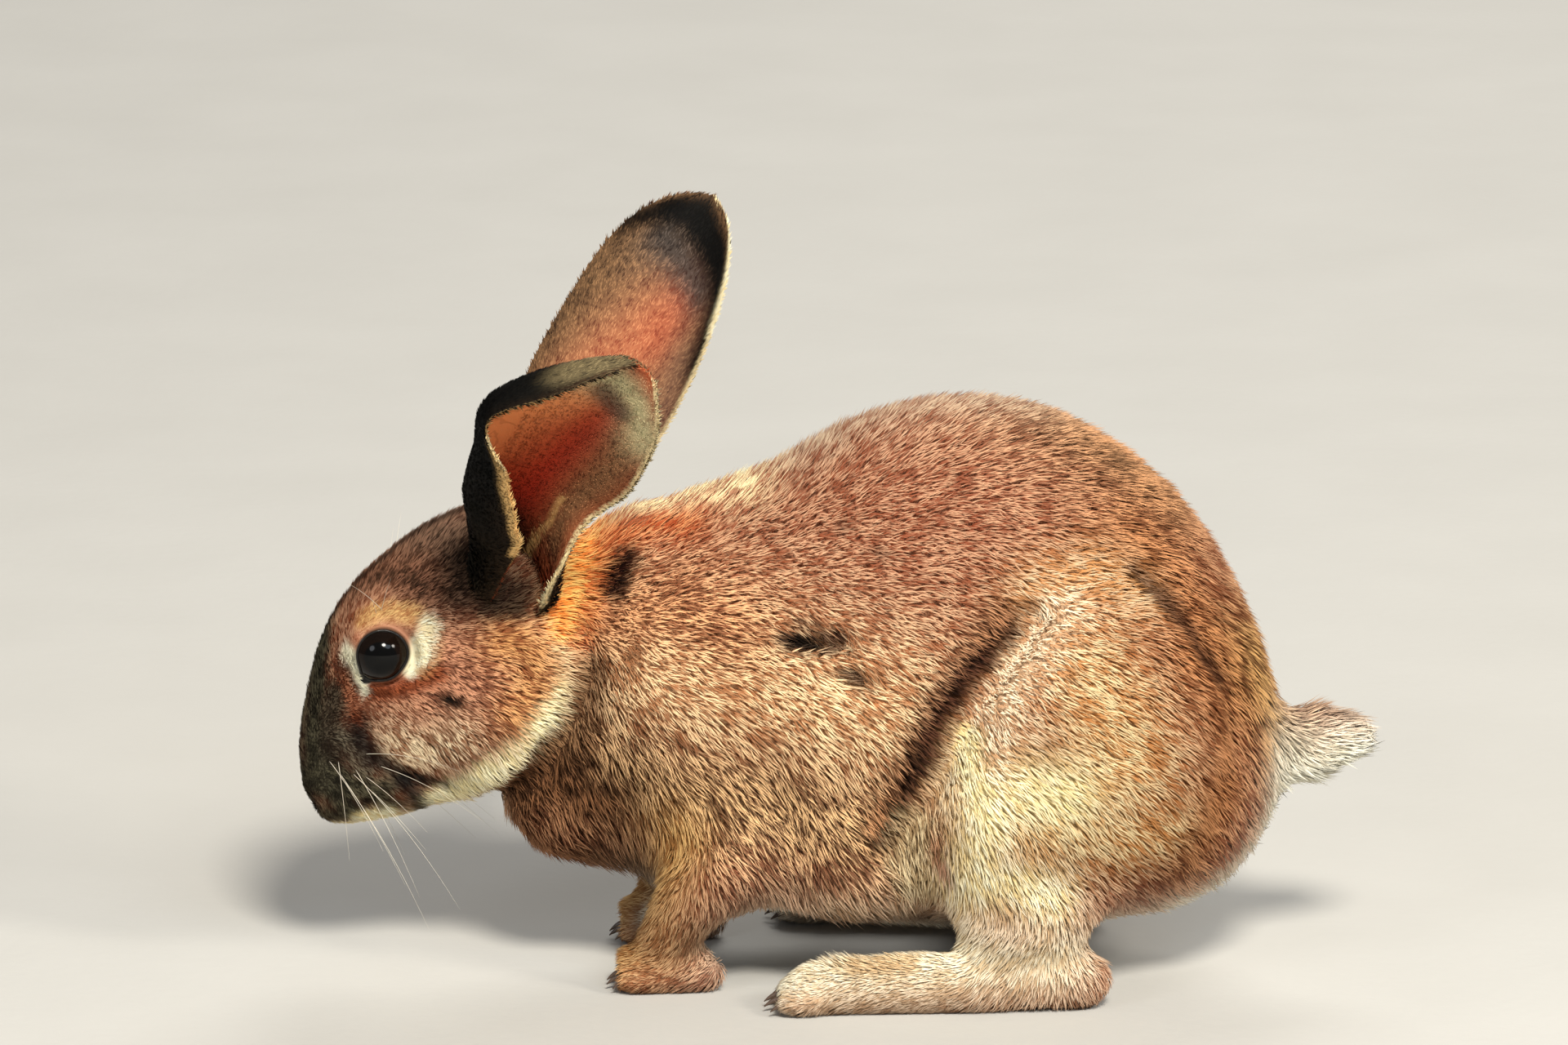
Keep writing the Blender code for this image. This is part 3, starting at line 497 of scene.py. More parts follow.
def painted(places, ground, markings):
    """Colours of tips and underfur: the ground's, then each marking's mixed in by
    cover times exp(-(distance / reach)^p), where p is 4 for narrow ones and 2 for wide."""
    pelt = np.tile(linear(PELTS[ground]).ravel(), (len(places), 1))
    for name, path, reach, cover in markings:
        edge = 4 if reach < NARROW else 2
        share = cover * np.exp(-((path_distance(places, path) / reach) ** edge))
        pelt += share[:, None] * (linear(PELTS[name]).ravel() - pelt)
    return pelt[:, :3], pelt[:, 3:]


def laid(way, normals):
    """A way, less its part along the normal, as a unit vector."""
    return unit(way - (way * normals).sum(1)[:, None] * normals)


def on_hide(lie, points, normals):
    """The way the hair lies: the table's way, turned to its side of the body, laid on the hide."""
    away = np.clip((points[:, 1] - MIDDLE) / MIDDLE_BLEND, -1, 1)
    return laid(np.column_stack([lie[:, 0], lie[:, 1] * away, lie[:, 2]]), normals)


def bending(points, normals, lie, squares):
    """How the ground curves along the lie: the best k in (change of normal) = k (change of
    place), both taken along the lie, over the sides that meet at a point."""
    starts, ends = edge_ends(squares)
    run = ((points[ends] - points[starts]) * lie[starts]).sum(1)
    turn = ((normals[ends] - normals[starts]) * lie[starts]).sum(1)
    sums = summed(starts, np.column_stack([run * turn, run * run]), len(points))
    return np.clip(sums[:, 0] / np.maximum(sums[:, 1], 1e-6), *BEND_RANGE)


class Amount:
    """A number that varies over a material: one socket, whose sums and products add Math nodes."""

    def __init__(self, finish, socket):
        self.finish = finish
        self.socket = socket

    def worked(self, operation, *terms):
        sockets = dict(enumerate(terms))
        return self.finish.node("ShaderNodeMath", {"operation": operation}, sockets)

    def __add__(self, other):
        return self.worked("ADD", self, other)

    def __sub__(self, other):
        return self.worked("SUBTRACT", self, other)

    def __rsub__(self, other):
        return self.worked("SUBTRACT", other, self)

    def __mul__(self, other):
        return self.worked("MULTIPLY", self, other)

    __radd__ = __add__
    __rmul__ = __mul__

    def within(self, low, high):
        """0 below low, 1 above high, eased between."""
        return self.finish.node(
            "ShaderNodeMapRange",
            {"interpolation_type": "SMOOTHSTEP"},
            {"Value": self, "From Min": low, "From Max": high},
        )


class Finish:
    """A material while it is written."""

    def __init__(self, name):
        self.material = bpy.data.materials.new(name)
        self.material.use_nodes = True
        self.tree = self.material.node_tree
        self.tree.nodes.clear()

    def node(self, kind, settings=None, sockets=None, out=0):
        """Any node: its settings first, then the values or links of its sockets."""
        made = self.tree.nodes.new(kind)
        for field, value in (settings or {}).items():
            setattr(made, field, value)
        for field, value in (sockets or {}).items():
            if isinstance(value, Amount):
                self.tree.links.new(value.socket, made.inputs[field])
            else:
                made.inputs[field].default_value = value
        return Amount(self, made.outputs[out]) if made.outputs else None

    def own(self, name, out="Fac"):
        """An attribute of the piece's own mesh."""
        return self.node("ShaderNodeAttribute", {"attribute_name": name}, out=out)

    def mixed(self, share, low, high, blend="MIX"):
        """Two colours, mixed by share."""
        settings = {"data_type": "RGBA", "blend_type": blend}
        return self.node("ShaderNodeMix", settings, {0: share, 6: low, 7: high}, out=2)

    def noise(self, scale, detail=3.0, stretch=(1, 1, 1)):
        """Noise on Object coordinates."""
        place = self.node("ShaderNodeTexCoord", out="Object")
        place = self.node("ShaderNodeMapping", sockets={"Vector": place, "Scale": stretch})
        return self.node("ShaderNodeTexNoise", sockets={"Vector": place, "Scale": scale, "Detail": detail})

    def bump(self, height, distance, strength=1.0):
        """A normal from a height, in mm of relief."""
        sockets = {"Height": height, "Distance": distance * MM, "Strength": strength}
        return self.node("ShaderNodeBump", sockets=sockets)

    def closed(self, sockets):
        """The Principled shader with these sockets, as the material's surface."""
        shader = self.node("ShaderNodeBsdfPrincipled", sockets=sockets)
        self.node("ShaderNodeOutputMaterial", sockets={"Surface": shader})
        return self.material


def piece(name, points, faces, material, values, solids=()):
    """A finished piece: points in mm, faces as arrays of equal ones, and its own attributes.
    It rides on the body, takes its finish from the slot and stands for the solids."""
    mesh = bpy.data.meshes.new(name)
    mesh.vertices.add(len(points))
    mesh.vertices.foreach_set("co", (points * MM).ravel())
    corners = np.concatenate([some.ravel() for some in faces]).astype(np.int32)
    sizes = np.concatenate([np.full(len(some), some.shape[1]) for some in faces])
    mesh.loops.add(len(corners))
    mesh.loops.foreach_set("vertex_index", corners)
    mesh.polygons.add(len(sizes))
    mesh.polygons.foreach_set("loop_start", (np.cumsum(sizes) - sizes).astype(np.int32))
    mesh.update(calc_edges=True)
    mesh.shade_smooth()
    for field, given in values.items():
        if given.ndim == 1:
            mesh.attributes.new(field, "FLOAT", "POINT").data.foreach_set("value", given)
        else:
            colour = np.column_stack([given, np.ones(len(given))])
            mesh.attributes.new(field, "FLOAT_COLOR", "POINT").data.foreach_set("color", colour.ravel())
    mesh.materials.append(material)
    made = bpy.data.objects.new(name, mesh)
    bpy.context.scene.collection.objects.link(made)
    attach(made, body)
    if solids:
        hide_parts(*solids)
    return made


def hide_material():
    """Skin between the roots of the hair: the underfur's colour, mottled, slightly moist."""
    hide = Finish("hide")
    mottle = hide.noise(700)
    tone = hide.mixed(0.25 + 0.2 * mottle, hide.own("under", "Color"), hide.own("over", "Color"))
    grain = hide.bump(hide.noise(1600, 4.0), 0.3, 0.6)
    rough = 0.55 + 0.2 * mottle
    return hide.closed({"Base Color": tone, "Roughness": rough, "Specular IOR Level": 0.05, "Normal": grain})


flesh = [name for name in frame["nodes"] if not name.startswith("ear")]
skin_points, skin_faces = grown_together(merged_solids(flesh, FLESH_SWELL))
places = sided(skin_points)
for tip, middle, step in TOE_ROWS.values():
    on_foot = (places[:, 2] < FOOT_HEIGHT) & (np.abs(places[:, 1] - middle) < FOOT_HALF)
    claws = on_foot & (places[:, 0] > tip - CLAW_ROOM) & (places[:, 0] < tip + TOE_END)
    skin_points[claws, 0] = tip + TOE_END
skin_points = relaxed(skin_points, skin_faces, SMOOTH_FIRST)
places = sided(skin_points)
folds = sink(places)
coat_depth = from_guides(places, 2)[:, 0]
skin_points -= outward(skin_points, skin_faces) * (coat_depth + folds)[:, None]
skin_points = relaxed(skin_points, skin_faces, SMOOTH_LAST)
skin_points[:, 2] = np.maximum(skin_points[:, 2], SKIN_LOWEST)

# ----------------------------------------
# The eyes: glossy balls of nearly black brown, set in the sockets, which bulge at the cornea.
# The lids are rings of hide that lie on the ball, with a dark bare rim, and run out into
# the skin; the skin is sunk under them, so that lid and ball show and not the skin.
# ----------------------------------------
EYE_RADIUS = 8.8
EYE_OUT = 0.8  # how far the ball stands out of its solid's place
EYE_RINGS = 40
EYE_ROUND = 64
CORNEA = 0.35
CORNEA_SPREAD = math.radians(40)
PUPIL_SHARE = 0.52
PUPIL_EDGE = 0.03
LID_OPENING = 7.1
LID_WIDER = 0.55, math.radians(20)  # how much, and which way, from the rear over the top
TEAR_CORNER = math.radians(237), 1.5, math.radians(20)  # the way there, how far out, how wide
LID_FLAT = math.radians(325), 0.7, math.radians(28)
LID_ROWS = ((-0.7, -0.9), (-0.25, 0.05), (0.0, 0.5), (0.3, 0.75), (0.65, 0.8), (1.05, 0.75), (1.6, 0.6),
            (2.2, 0.5), (2.9, 0.4), (3.7, 0.2), (4.6, -0.1), (5.5, -0.7))  # how far out, and up
LID_REACH = LID_ROWS[-1][0]
LID_ROUND = 96
LID_ON_BALL = 8.5
LID_BLEND = 0.2, 4.2  # where a lid leaves the ball's height, and where it has the skin's
LID_RIM = 0.75, 1.5, math.radians(11)  # width, and more at the tear corner, within that angle
LID_RIM_EDGE = -0.3, 0.15
LID_OVERLAP = 1.2  # how far the skin's own hair grows over the lids' outer edge
POCKET = 1.0
POCKET_REACH = 3.2
POCKET_FLOOR = 8.0
EYE_BACK = -3  # what lies deeper than this behind the ball's middle is left alone
OUTSIDE = 40


def angle_from(turn, heading):
    """How far round a turn is from a heading, from -180 to 180 degrees."""
    return np.angle(np.exp(1j * (turn - heading)))


def lid_edge(turn):
    """How far the lids' edge is from the eye's axis: a circle that is a little wider behind,
    drawn out at the tear corner and flattened at the lower rear by exp(-(angle / width)²)."""
    edge = LID_OPENING + LID_WIDER[0] * np.cos(turn - LID_WIDER[1])
    for sign, (heading, amount, width) in ((1, TEAR_CORNER), (-1, LID_FLAT)):
        edge = edge + sign * amount * np.exp(-((angle_from(turn, heading) / width) ** 2))
    return edge


def round_eye(points, centre, out):
    """How far points are from an eye's axis, how far round it, and how high over its middle."""
    away = points - centre
    return np.hypot(away[:, 0], away[:, 2]), np.arctan2(away[:, 2], away[:, 0]), away[:, 1] * out


def ball_height(reach):
    """How high the ball stands over its middle, at a distance from its axis."""
    return np.sqrt(np.maximum(EYE_RADIUS**2 - reach**2, 0.5))


def wound(index):
    """The squares between the rows of a grid of indices whose rows close on themselves."""
    after = np.roll(index, -1, axis=-1)
    corners = index[..., :-1, :], after[..., :-1, :], after[..., 1:, :], index[..., 1:, :]
    return np.stack(corners, -1).reshape(-1, 4)


def shells(rings):
    """Closed shells from arrays of rings (shells, rings, points round, 3): a fan round the
    middle of the first and of the last ring closes each. Faces point outwards."""
    count, length, around = rings.shape[:3]
    index = np.arange(count * length * around).reshape(count, length, around)
    after = np.roll(index, -1, axis=2)
    sides = wound(index)
    poles = index.size + np.arange(2 * count).reshape(2, count, 1) + np.zeros(around, int)
    start = np.stack([after[:, 0], index[:, 0], poles[0]], -1).reshape(-1, 3)
    end = np.stack([index[:, -1], after[:, -1], poles[1]], -1).reshape(-1, 3)
    points = np.vstack([rings.reshape(-1, 3), rings[:, 0].mean(1), rings[:, -1].mean(1)])
    inward = (facing(points, sides) * (points[sides[:, 0]] - points.mean(0))).sum() < 0
    faces = [sides, start, end]
    return points, [some[:, ::-1] for some in faces] if inward else faces


def eye_material():
    """Nearly black brown round a black pupil, under a wet clear coat."""
    eye = Finish("eye_glass")
    rim = eye.own("rim")
    fibres = eye.noise(900, 5.0)
    iris = eye.mixed(fibres, (0.003, 0.002, 0.0015, 1), (0.008, 0.004, 0.0025, 1))
    outside = rim.within(PUPIL_SHARE - PUPIL_EDGE, PUPIL_SHARE + PUPIL_EDGE)
    tone = eye.mixed(outside, (0.002, 0.002, 0.002, 1), iris)
    return eye.closed(
        {
            "Base Color": tone,
            "Roughness": 0.4 + 0.1 * fibres,
            "Specular IOR Level": 0.0,
            "Coat Weight": 1.0,
            "Coat Roughness": 0.1,
            "Coat IOR": 1.25,
        }
    )


def eyeball(centre, out):
    """A ball in rings round its axis, which stands a little higher over the iris:
    radius + cornea exp(-(angle / 40°)⁴)."""
    angle = np.linspace(0.02, math.pi - 0.02, EYE_RINGS)[:, None]
    turn = np.linspace(0, 2 * math.pi, EYE_ROUND, endpoint=False)[None]
    radius = EYE_RADIUS + CORNEA * np.exp(-((angle / CORNEA_SPREAD) ** 4))
    points = np.stack(
        [
            centre[0] + radius * np.sin(angle) * np.cos(turn),
            centre[1] + radius * np.cos(angle) * out + 0 * turn,
            centre[2] + radius * np.sin(angle) * np.sin(turn),
        ],
        -1,
    )
    rim = np.sin(angle) + 0 * turn
    rim[angle[:, 0] > math.pi / 2] = 1
    return shells(points[None]), np.append(rim.ravel(), [0, 1])


def lid(centre, out, skin_tree):
    """A ring of hide: rows at growing distances from the lids' edge, from inside the ball,
    over the rim, out to the skin. Each height blends from the ball's to the skin's."""
    turn = np.linspace(0, 2 * math.pi, LID_ROUND, endpoint=False)[None]
    steps, rise = (np.array(column)[:, None] for column in zip(*LID_ROWS))
    reach = lid_edge(turn) + steps
    across = centre[0] + reach * np.cos(turn)
    up = centre[2] + reach * np.sin(turn)
    skin_height = np.empty((2, turn.size))
    for row, column in np.ndindex(skin_height.shape):
        spot = (across[-1 - 2 * row, column], centre[1] + OUTSIDE * out, up[-1 - 2 * row, column])
        found = skin_tree.ray_cast(Vector(spot), Vector((0, -out, 0)))[0]
        skin_height[row, column] = (found.y - centre[1]) * out
    slope = (skin_height[0] - skin_height[1]) / (steps[-1] - steps[-3])
    on_skin = skin_height[0] + slope * (steps - steps[-1])
    share = ease(*LID_BLEND, steps)
    height = (1 - share) * ball_height(np.minimum(reach, LID_ON_BALL)) + share * on_skin + rise
    points = np.stack([across, centre[1] + out * height, up], -1)
    faces = wound(np.arange(reach.size).reshape(reach.shape))
    flat = points.reshape(-1, 3)
    if outward(flat, faces)[:, 1].mean() * out < 0:
        faces = faces[:, ::-1]
    return flat, faces, (steps + 0 * turn).ravel(), (turn + 0 * steps).ravel()


def lid_material():
    """Hide of the lids, with a moist dark rim."""
    finish = Finish("lid_hide")
    rim = finish.own("rim")
    mottle = finish.noise(1500)
    fur = finish.mixed(0.35 + 0.3 * mottle, finish.own("under", "Color"), finish.own("over", "Color"))
    tone = finish.mixed(rim, fur, (0.007, 0.006, 0.005, 1))
    return finish.closed(
        {
            "Base Color": tone,
            "Roughness": 0.6 - 0.35 * rim,
            "Specular IOR Level": 0.2,
            "Normal": finish.bump(finish.noise(2600, 4.0), 0.15, 0.5),
        }
    )


eye_finish = eye_material()
lid_finish = lid_material()
eyes = []
for name, centre in eye_centres.items():
    out = math.copysign(1, centre[1] - MIDDLE)
    centre = centre + (0, EYE_OUT * out, 0)
    (ball_points, ball_faces), rim = eyeball(centre, out)
    piece(name + "_ball", ball_points, ball_faces, eye_finish, {"rim": rim}, [name])
    skin_tree = BVHTree.FromPolygons(skin_points.tolist(), skin_faces.tolist())
    ring = lid(centre, out, skin_tree)
    eyes.append((centre, out, ring))
    from_axis, turn, height = round_eye(skin_points, centre, out)
    within = (from_axis < lid_edge(turn) + POCKET_REACH) & (height > EYE_BACK)
    floor = ball_height(np.minimum(from_axis, POCKET_FLOOR)) - POCKET
    height = np.where(within, np.minimum(height, floor), height)
    skin_points[:, 1] = centre[1] + out * height

# ----------------------------------------
# The skin and lids, finished now that the eyes have their pockets: each gets its markings,
# and the lie, depth, length and colours of the hair that grows out of it.
# ----------------------------------------
AHEAD = 0.75  # a lock shows the markings of the place that this share of it reaches
FOLD_THINS = 0.1, 6  # share of the coat's height lost for each mm that a fold sinks, to that depth
LID_AHEAD = 0.9  # the same for a lid, in mm
LID_HEIGHT = 0.35, 0.12  # of the hair at the rim, and more for each mm out
LID_LENGTH = 1.3, 0.25
LID_GROWS = 5  # mm from the rim, where that stops
skin_normals = outward(skin_points, skin_faces)
places = sided(skin_points)
skin_over, skin_under = painted(places, GROUND_PELT, MARKINGS)
skin_lie = on_hide(from_guides(places, 1), skin_points, skin_normals)
hair = from_guides(places, 3)[:, 0]
shown = skin_points + skin_lie * (AHEAD * hair)[:, None] + skin_normals * coat_depth[:, None]
lock_over, lock_under = painted(sided(shown), GROUND_PELT, MARKINGS)
skin_ground = {
    "points": skin_points,
    "faces": skin_faces,
    "normals": skin_normals,
    "lie": skin_lie,
    "height": coat_depth * (1 - FOLD_THINS[0] * np.clip(folds, 0, FOLD_THINS[1])),
    "length": hair,
    "over": lock_over,
    "under": lock_under,
    "bend": bending(skin_points, skin_normals, skin_lie, skin_faces),
}
hide_finish = hide_material()
piece("skin", skin_points, [skin_faces], hide_finish, {"over": skin_over, "under": skin_under},
      [name for name in flesh if not name.startswith("eye")])

lid_grounds = []
for centre, out, (points, faces, steps, turn) in eyes:
    over, under = painted(sided(points), GROUND_PELT, MARKINGS)
    normals = outward(points, faces)
    off = angle_from(turn, TEAR_CORNER[0])
    rim_width = LID_RIM[0] + LID_RIM[1] * np.exp(-((off / LID_RIM[2]) ** 2))
    rim = 1 - ease(rim_width + LID_RIM_EDGE[0], rim_width + LID_RIM_EDGE[1], steps)
    off_rim = np.clip(steps, 0, LID_GROWS)
    name = "lid_left" if out < 0 else "lid_right"
    piece(name, points, [faces], lid_finish, {"rim": rim, "over": over, "under": under})
    lie = on_hide(from_guides(sided(points), 1), points, normals)
    over, under = painted(sided(points + LID_AHEAD * lie), GROUND_PELT, MARKINGS)
    lid_grounds.append(
        {
            "points": points,
            "faces": faces,
            "normals": normals,
            "lie": lie,
            "height": LID_HEIGHT[0] + LID_HEIGHT[1] * off_rim,
            "length": LID_LENGTH[0] + LID_LENGTH[1] * off_rim,
            "over": over,
            "under": under,
            "bend": np.zeros(len(points)),
            "bare": rim,
        }
    )

# ----------------------------------------
# The ears: thin leaves of gristle and hide, rolled into a tube where they leave the skull.
# Each is one closed shell, thinner at the margins and the tip. The near one lies over to
# the left with its front margin rolled in; the far one stands up and shows its back.
# ----------------------------------------
# For each: where its root is; the way it points and the roll of its opening; length and width;
# the curl of either half and of the front rim; the shares of the front half, of the root's
# width, and of the length where it is widest; and how far it bows back.
EARS = {
    "ear_left": {
        "side": -1,
        "root": (-92.6, 2.1, 125.3),
        "angles": (-68.1, 39.5, 21.2),
        "size": (110, 72),
        "curls": (29, 112),
        "shares": (0.65, 0.65, 0.56),
        "bow": 4.2,
    },
    "ear_right": {
        "side": 1,
        "root": (-89.0, 33.5, 117.3),
        "angles": (41.3, 52.6, 118.9),
        "size": (115, 53),
        "curls": (51, 24),
        "shares": (0.52, 0.67, 0.49),
        "bow": 0,
    },
}
EAR_ROOT_CURL = math.radians(150)
EAR_MOST_CURL = math.radians(165)
EAR_BACKWARD = 3.7
EAR_WALL = 2.3, 1.1  # thickness at the root, and how much is lost by three quarters of the way
EAR_MARGIN_THINNER = 0.45
EAR_ROWS = 64
EAR_COLUMNS = 45
EAR_HEIGHT = 0.4, 1.2, 0.4  # of its hair, and more at the root and in the fringe
EAR_LENGTH = 2.2, 3.2, 1.2
EAR_ROOT_ENDS = 0.02, 0.25  # shares of the ear's length, as is the next
EAR_FRINGE_ENDS = 0.5, 0.64
EAR_SPAN = 30.0  # mm that u from 0 to 1 counts for in the tables of markings
EAR_LEAN = 0.7, 2.0  # how far out the hair leans at the margins, and how far over the edge in the fringe
EAR_INSIDE = 0.6  # a share above this counts as the ear's inside
PELTS |= {
    # painted glow of light through the thin ear, on the far ear's back
    "ear_back": ((141, 106, 74), (29, 23, 20)),
    "ear_glow": ((180, 120, 84), (120, 48, 33)),
    "ear_purple": ((152, 114, 86), (84, 54, 48)),
    "ear_grey": ((80, 74, 70), (14, 12, 11)),
    # black fur of the ear tips, and on the near ear's back also painted shade
    "ear_black_and_shade": ((16, 15, 13), (3, 3, 3)),
    # pale hair of the ears' margins, lighter as painted rim light
    "ear_rim": ((240, 224, 178), (212, 186, 134)),
    "ear_inside": ((176, 84, 48), (150, 58, 32)),
    # red of the inner skin, and painted glow of light through the ear
    "ear_red_skin_and_glow": ((196, 44, 30), (120, 33, 22)),
    # painted glow of light through the ear
    "ear_glow_orange": ((222, 152, 104), (236, 146, 84)),
    "ear_olive": ((228, 212, 166), (130, 128, 94)),
    "ear_brown": ((176, 126, 88), (22, 17, 14)),
    "ear_fringe": ((240, 202, 136), (200, 150, 90)),
    # dull olive fur near the ear's tip, darkened as painted shade
    "ear_dull_olive_and_shade": ((120, 106, 76), (52, 45, 32)),
    # dark fur at the ears' roots, darker still as painted shade there
    "ear_root": ((28, 25, 19), (7, 6, 5)),
}
# Markings of the back and then of the inside, in (mm from the root, mm across from the midrib).
EAR_MARKS = {
    "ear_left": (
        [
            # black over the near ear's back: black fur towards the tip, and painted shade on the side turned
            # from the light
            ("ear_black_and_shade", [(34, 22), (60, 22), (88, 22), (98, 20)], 14, 1),
            ("ear_black_and_shade", [(34, 10), (60, 8), (88, 6), (97, 8)], 12, 1),
            ("ear_black_and_shade", [(60, 26), (88, 26), (99, 24)], 14, 1),
            # painted shade on the dark root of the near ear's back
            ("ear_root", [(0, -20), (0, 20), (18, 20)], 22, 1),
            # dull olive at the near ear's tip: dense fur, darkened as painted shade
            ("ear_dull_olive_and_shade", [(107, 22), (109, -10)], 5, 0.95),
            ("ear_fringe", [(25, 30), (48, 30)], 1.3, 1),
            ("ear_fringe", [(48, 30), (79, 30)], 2.0, 1),
            # pale rear margin: pale hair and painted rim light
            ("ear_rim", [(0, -30), (106, -30)], 1.4, 1),
        ],
        [
            # painted glow of light through the near ear, over its inner skin
            ("ear_red_skin_and_glow", [(30, 0), (48, -3), (66, -8), (78, -10)], 11, 0.85),
            ("ear_glow_orange", [(56, 16), (74, 12), (90, 4)], 9, 0.85),
            ("ear_glow_orange", [(96, 8), (100, 0)], 5, 0.6),
            ("ear_brown", [(20, -20), (50, -20), (74, -22)], 11, 1),
            ("ear_olive", [(105, 20), (101, 6), (101, -8), (95, -20), (82, -26)], 9, 1),
            ("ear_grey", [(94, -4), (88, -14)], 5, 0.7),
            # painted shade in the rolled root of the near ear, over dark fur
            ("ear_root", [(0, 10), (0, -10), (20, 6)], 11, 0.95),
            # painted highlight: a pale line along the ridge inside the near ear
            ("ear_fringe", [(5, -8), (17, -10), (27, -14), (38, -13.5)], 1.5, 0.7),
            ("ear_fringe", [(23, 30), (82, 30)], 3.6, 1),
            # pale front margin: pale hair and painted rim light
            ("ear_rim", [(74, 30), (83, 30)], 3.2, 0.9),
            # dull olive along the upper front margin near the tip: dense fur, darkened as painted shade
            ("ear_dull_olive_and_shade", [(88, 30), (107, 30)], 3.4, 1),
            ("ear_fringe", [(86, 30), (102, 30)], 1.8, 0.5),
            # pale tip and rear margin: pale hair and painted rim light
            ("ear_rim", [(109, 24), (109, -4)], 2.4, 0.8),
            ("ear_rim", [(0, -30), (106, -30)], 1.3, 1),
        ],
    ),
    "ear_right": (
        [
            # painted glow of light through the far ear, seen from behind
            ("ear_glow", [(44, 8), (58, 3), (70, -3), (82, -8)], 13, 0.95),
            ("ear_red_skin_and_glow", [(72, -8), (84, -9)], 8, 0.2),
            ("ear_purple", [(28, -22), (58, -24), (70, -22)], 10, 0.95),
            ("ear_grey", [(90, -14), (95, 0), (98, 10)], 9, 0.9),
            ("ear_black_and_shade", [(72, -28), (88, -26), (103, -19), (108, -6), (108, 8), (106, 18)], 8, 1),
            ("ear_black_and_shade", [(100, -18), (106, 0)], 6.5, 1),
            ("ear_black_and_shade", [(109, 4), (106, 20), (99, 28)], 5.5, 0.9),
            # painted shade at the far ear's root, over dark fur
            ("ear_root", [(0, -20), (0, 20)], 14, 0.8),
            # pale rear margin and tip of the far ear: pale hair and painted rim light
            ("ear_rim", [(14, -30), (96, -30)], 2.6, 1),
            ("cream", [(84, -30), (113, -30)], 4.2, 1),
            ("ear_rim", [(115.2, -30), (115.2, -10)], 1.2, 1),
        ],
        [
            # inside the far ear: inner skin and painted glow of light through it
            ("ear_red_skin_and_glow", [(20, 0), (60, 0)], 14, 0.45),
            ("ear_glow_orange", [(50, 14), (78, 10)], 10, 0.6),
            ("ear_olive", [(104, 0), (92, 20), (92, -20)], 12, 0.9),
            ("ear_fringe", [(0, 29), (70, 29)], 4, 1),
            # pale rear margin inside the far ear: pale hair and painted rim light
            ("ear_rim", [(14, -30), (112, -30)], 3, 1),
        ],
    ),
}
# The near ear's fold: how far the wall moves along X and Z at the front margin, the front
# half and the rear margin, for shares of the ear's length.
EAR_PULLS = {
    "ear_left": {
        "at": (0, 0.2, 0.3, 0.4, 0.5, 0.6, 0.7, 0.8, 0.9, 0.96, 1),
        "margin": ((0, 2.6, 3.8, 6.4, 3.5, -0.8, -1.1, 0.5, 6.0, 5.9, 5),
                   (0, 1.4, 2.9, 5.4, 5.7, 5.9, 7.2, 7.5, -1.2, -4.5, 0)),
        "front": ((0, 0, 0, 0, 0, -1.0, -3.0, -4.6, -3.4, 0, 5),
                  (0, 0, 0, 0, 0, 0, 0.5, 0.5, 0.5, 0.5, 0)),
        "rear": ((7.5, -0.6, -3.0, -1.4, 0, 0, 0, 0, 0, 1, 5),
                 (0, 1.8, 2.2, 1.2, 0, 0, 0, 0, 0, 0, 0)),
    }
}
EAR_GROUND = ("ear_back", "ear_inside")


def ear_leaf(shape, s, u):
    """The middle of an ear's wall at s along it and u across, from -1 behind to 1 in front.

    Either half turns through an angle that falls from the root's curl to the blade's, and the
    front half's outer part turns further in by the rim's curl. The leaf is the sum across of
    (cos turn, sin turn), times a half width that goes as sqrt(1 - beyond^2.4) past the widest.
    """
    heading, rise, roll = (math.radians(a) for a in shape["angles"])
    length, width = shape["size"]
    blade_curl, rim_curl = (math.radians(a) for a in shape["curls"])
    front_share, root_share, widest = shape["shares"]
    along = np.array([math.cos(heading) * math.cos(rise), math.sin(heading) * math.cos(rise),
                      math.sin(rise)])
    level = unit(np.cross(along, (0, 0, 1)))
    front = math.cos(roll) * level + math.sin(roll) * np.cross(level, along)
    opening = shape["side"] * np.cross(front, along)
    narrow = root_share + (1 - root_share) * ease(0, widest, s)
    beyond = np.clip((s - widest) / (1 - widest), 0, 1)
    half = width / 2 * narrow * np.sqrt(np.clip(1 - beyond**2.4, 0.004, 1))
    opened = ease(-0.05, 0.42, s)
    curl = EAR_ROOT_CURL * (1 - opened) + blade_curl * opened
    rim = np.minimum(rim_curl * (1 - 0.75 * ease(0.6, 0.95, s)), EAR_MOST_CURL - curl)
    turn = curl * u + rim * ease(0.2, 0.85, u)
    front_share = 0.5 + (front_share - 0.5) * ease(0, 0.35, s)
    share = 2 * np.where(u > 0, front_share, 1 - front_share)
    sheet = []
    for slope in (np.cos(turn) * share, np.sin(turn) * share):
        run = np.cumsum((slope[:, 1:] + slope[:, :-1]) / 2 * np.diff(u), axis=1)
        run = np.hstack([np.zeros((len(s), 1)), run])
        sheet.append(half * (run - run[:, [u.shape[1] // 2]]))
    across = sheet[0] + shape["bow"] * np.sin(math.pi * np.clip(s, 0, 1))
    out = sheet[1] - EAR_BACKWARD * s**2
    leaf = np.array(shape["root"]) + length * s[..., None] * along
    leaf = leaf + across[..., None] * front + out[..., None] * opening
    return leaf, opening


def pulled(leaf, pulls, s, u):
    """The leaf with its fold set: each pull is read off along the length and weighed across,
    the margin's by ease(0.45, 1, u), the front's by exp(-((u - 0.65) / 0.4)²), the rear's by
    ease(0.2, 1, -u)."""
    weights = {
        "margin": ease(0.45, 1, u),
        "front": np.exp(-(((u - 0.65) / 0.4) ** 2)),
        "rear": ease(0.2, 1, -u),
    }
    for name, weight in weights.items():
        for axis, amounts in zip((0, 2), pulls[name]):
            leaf[..., axis] += weight * smooth_between(s, pulls["at"], amounts)
    return leaf


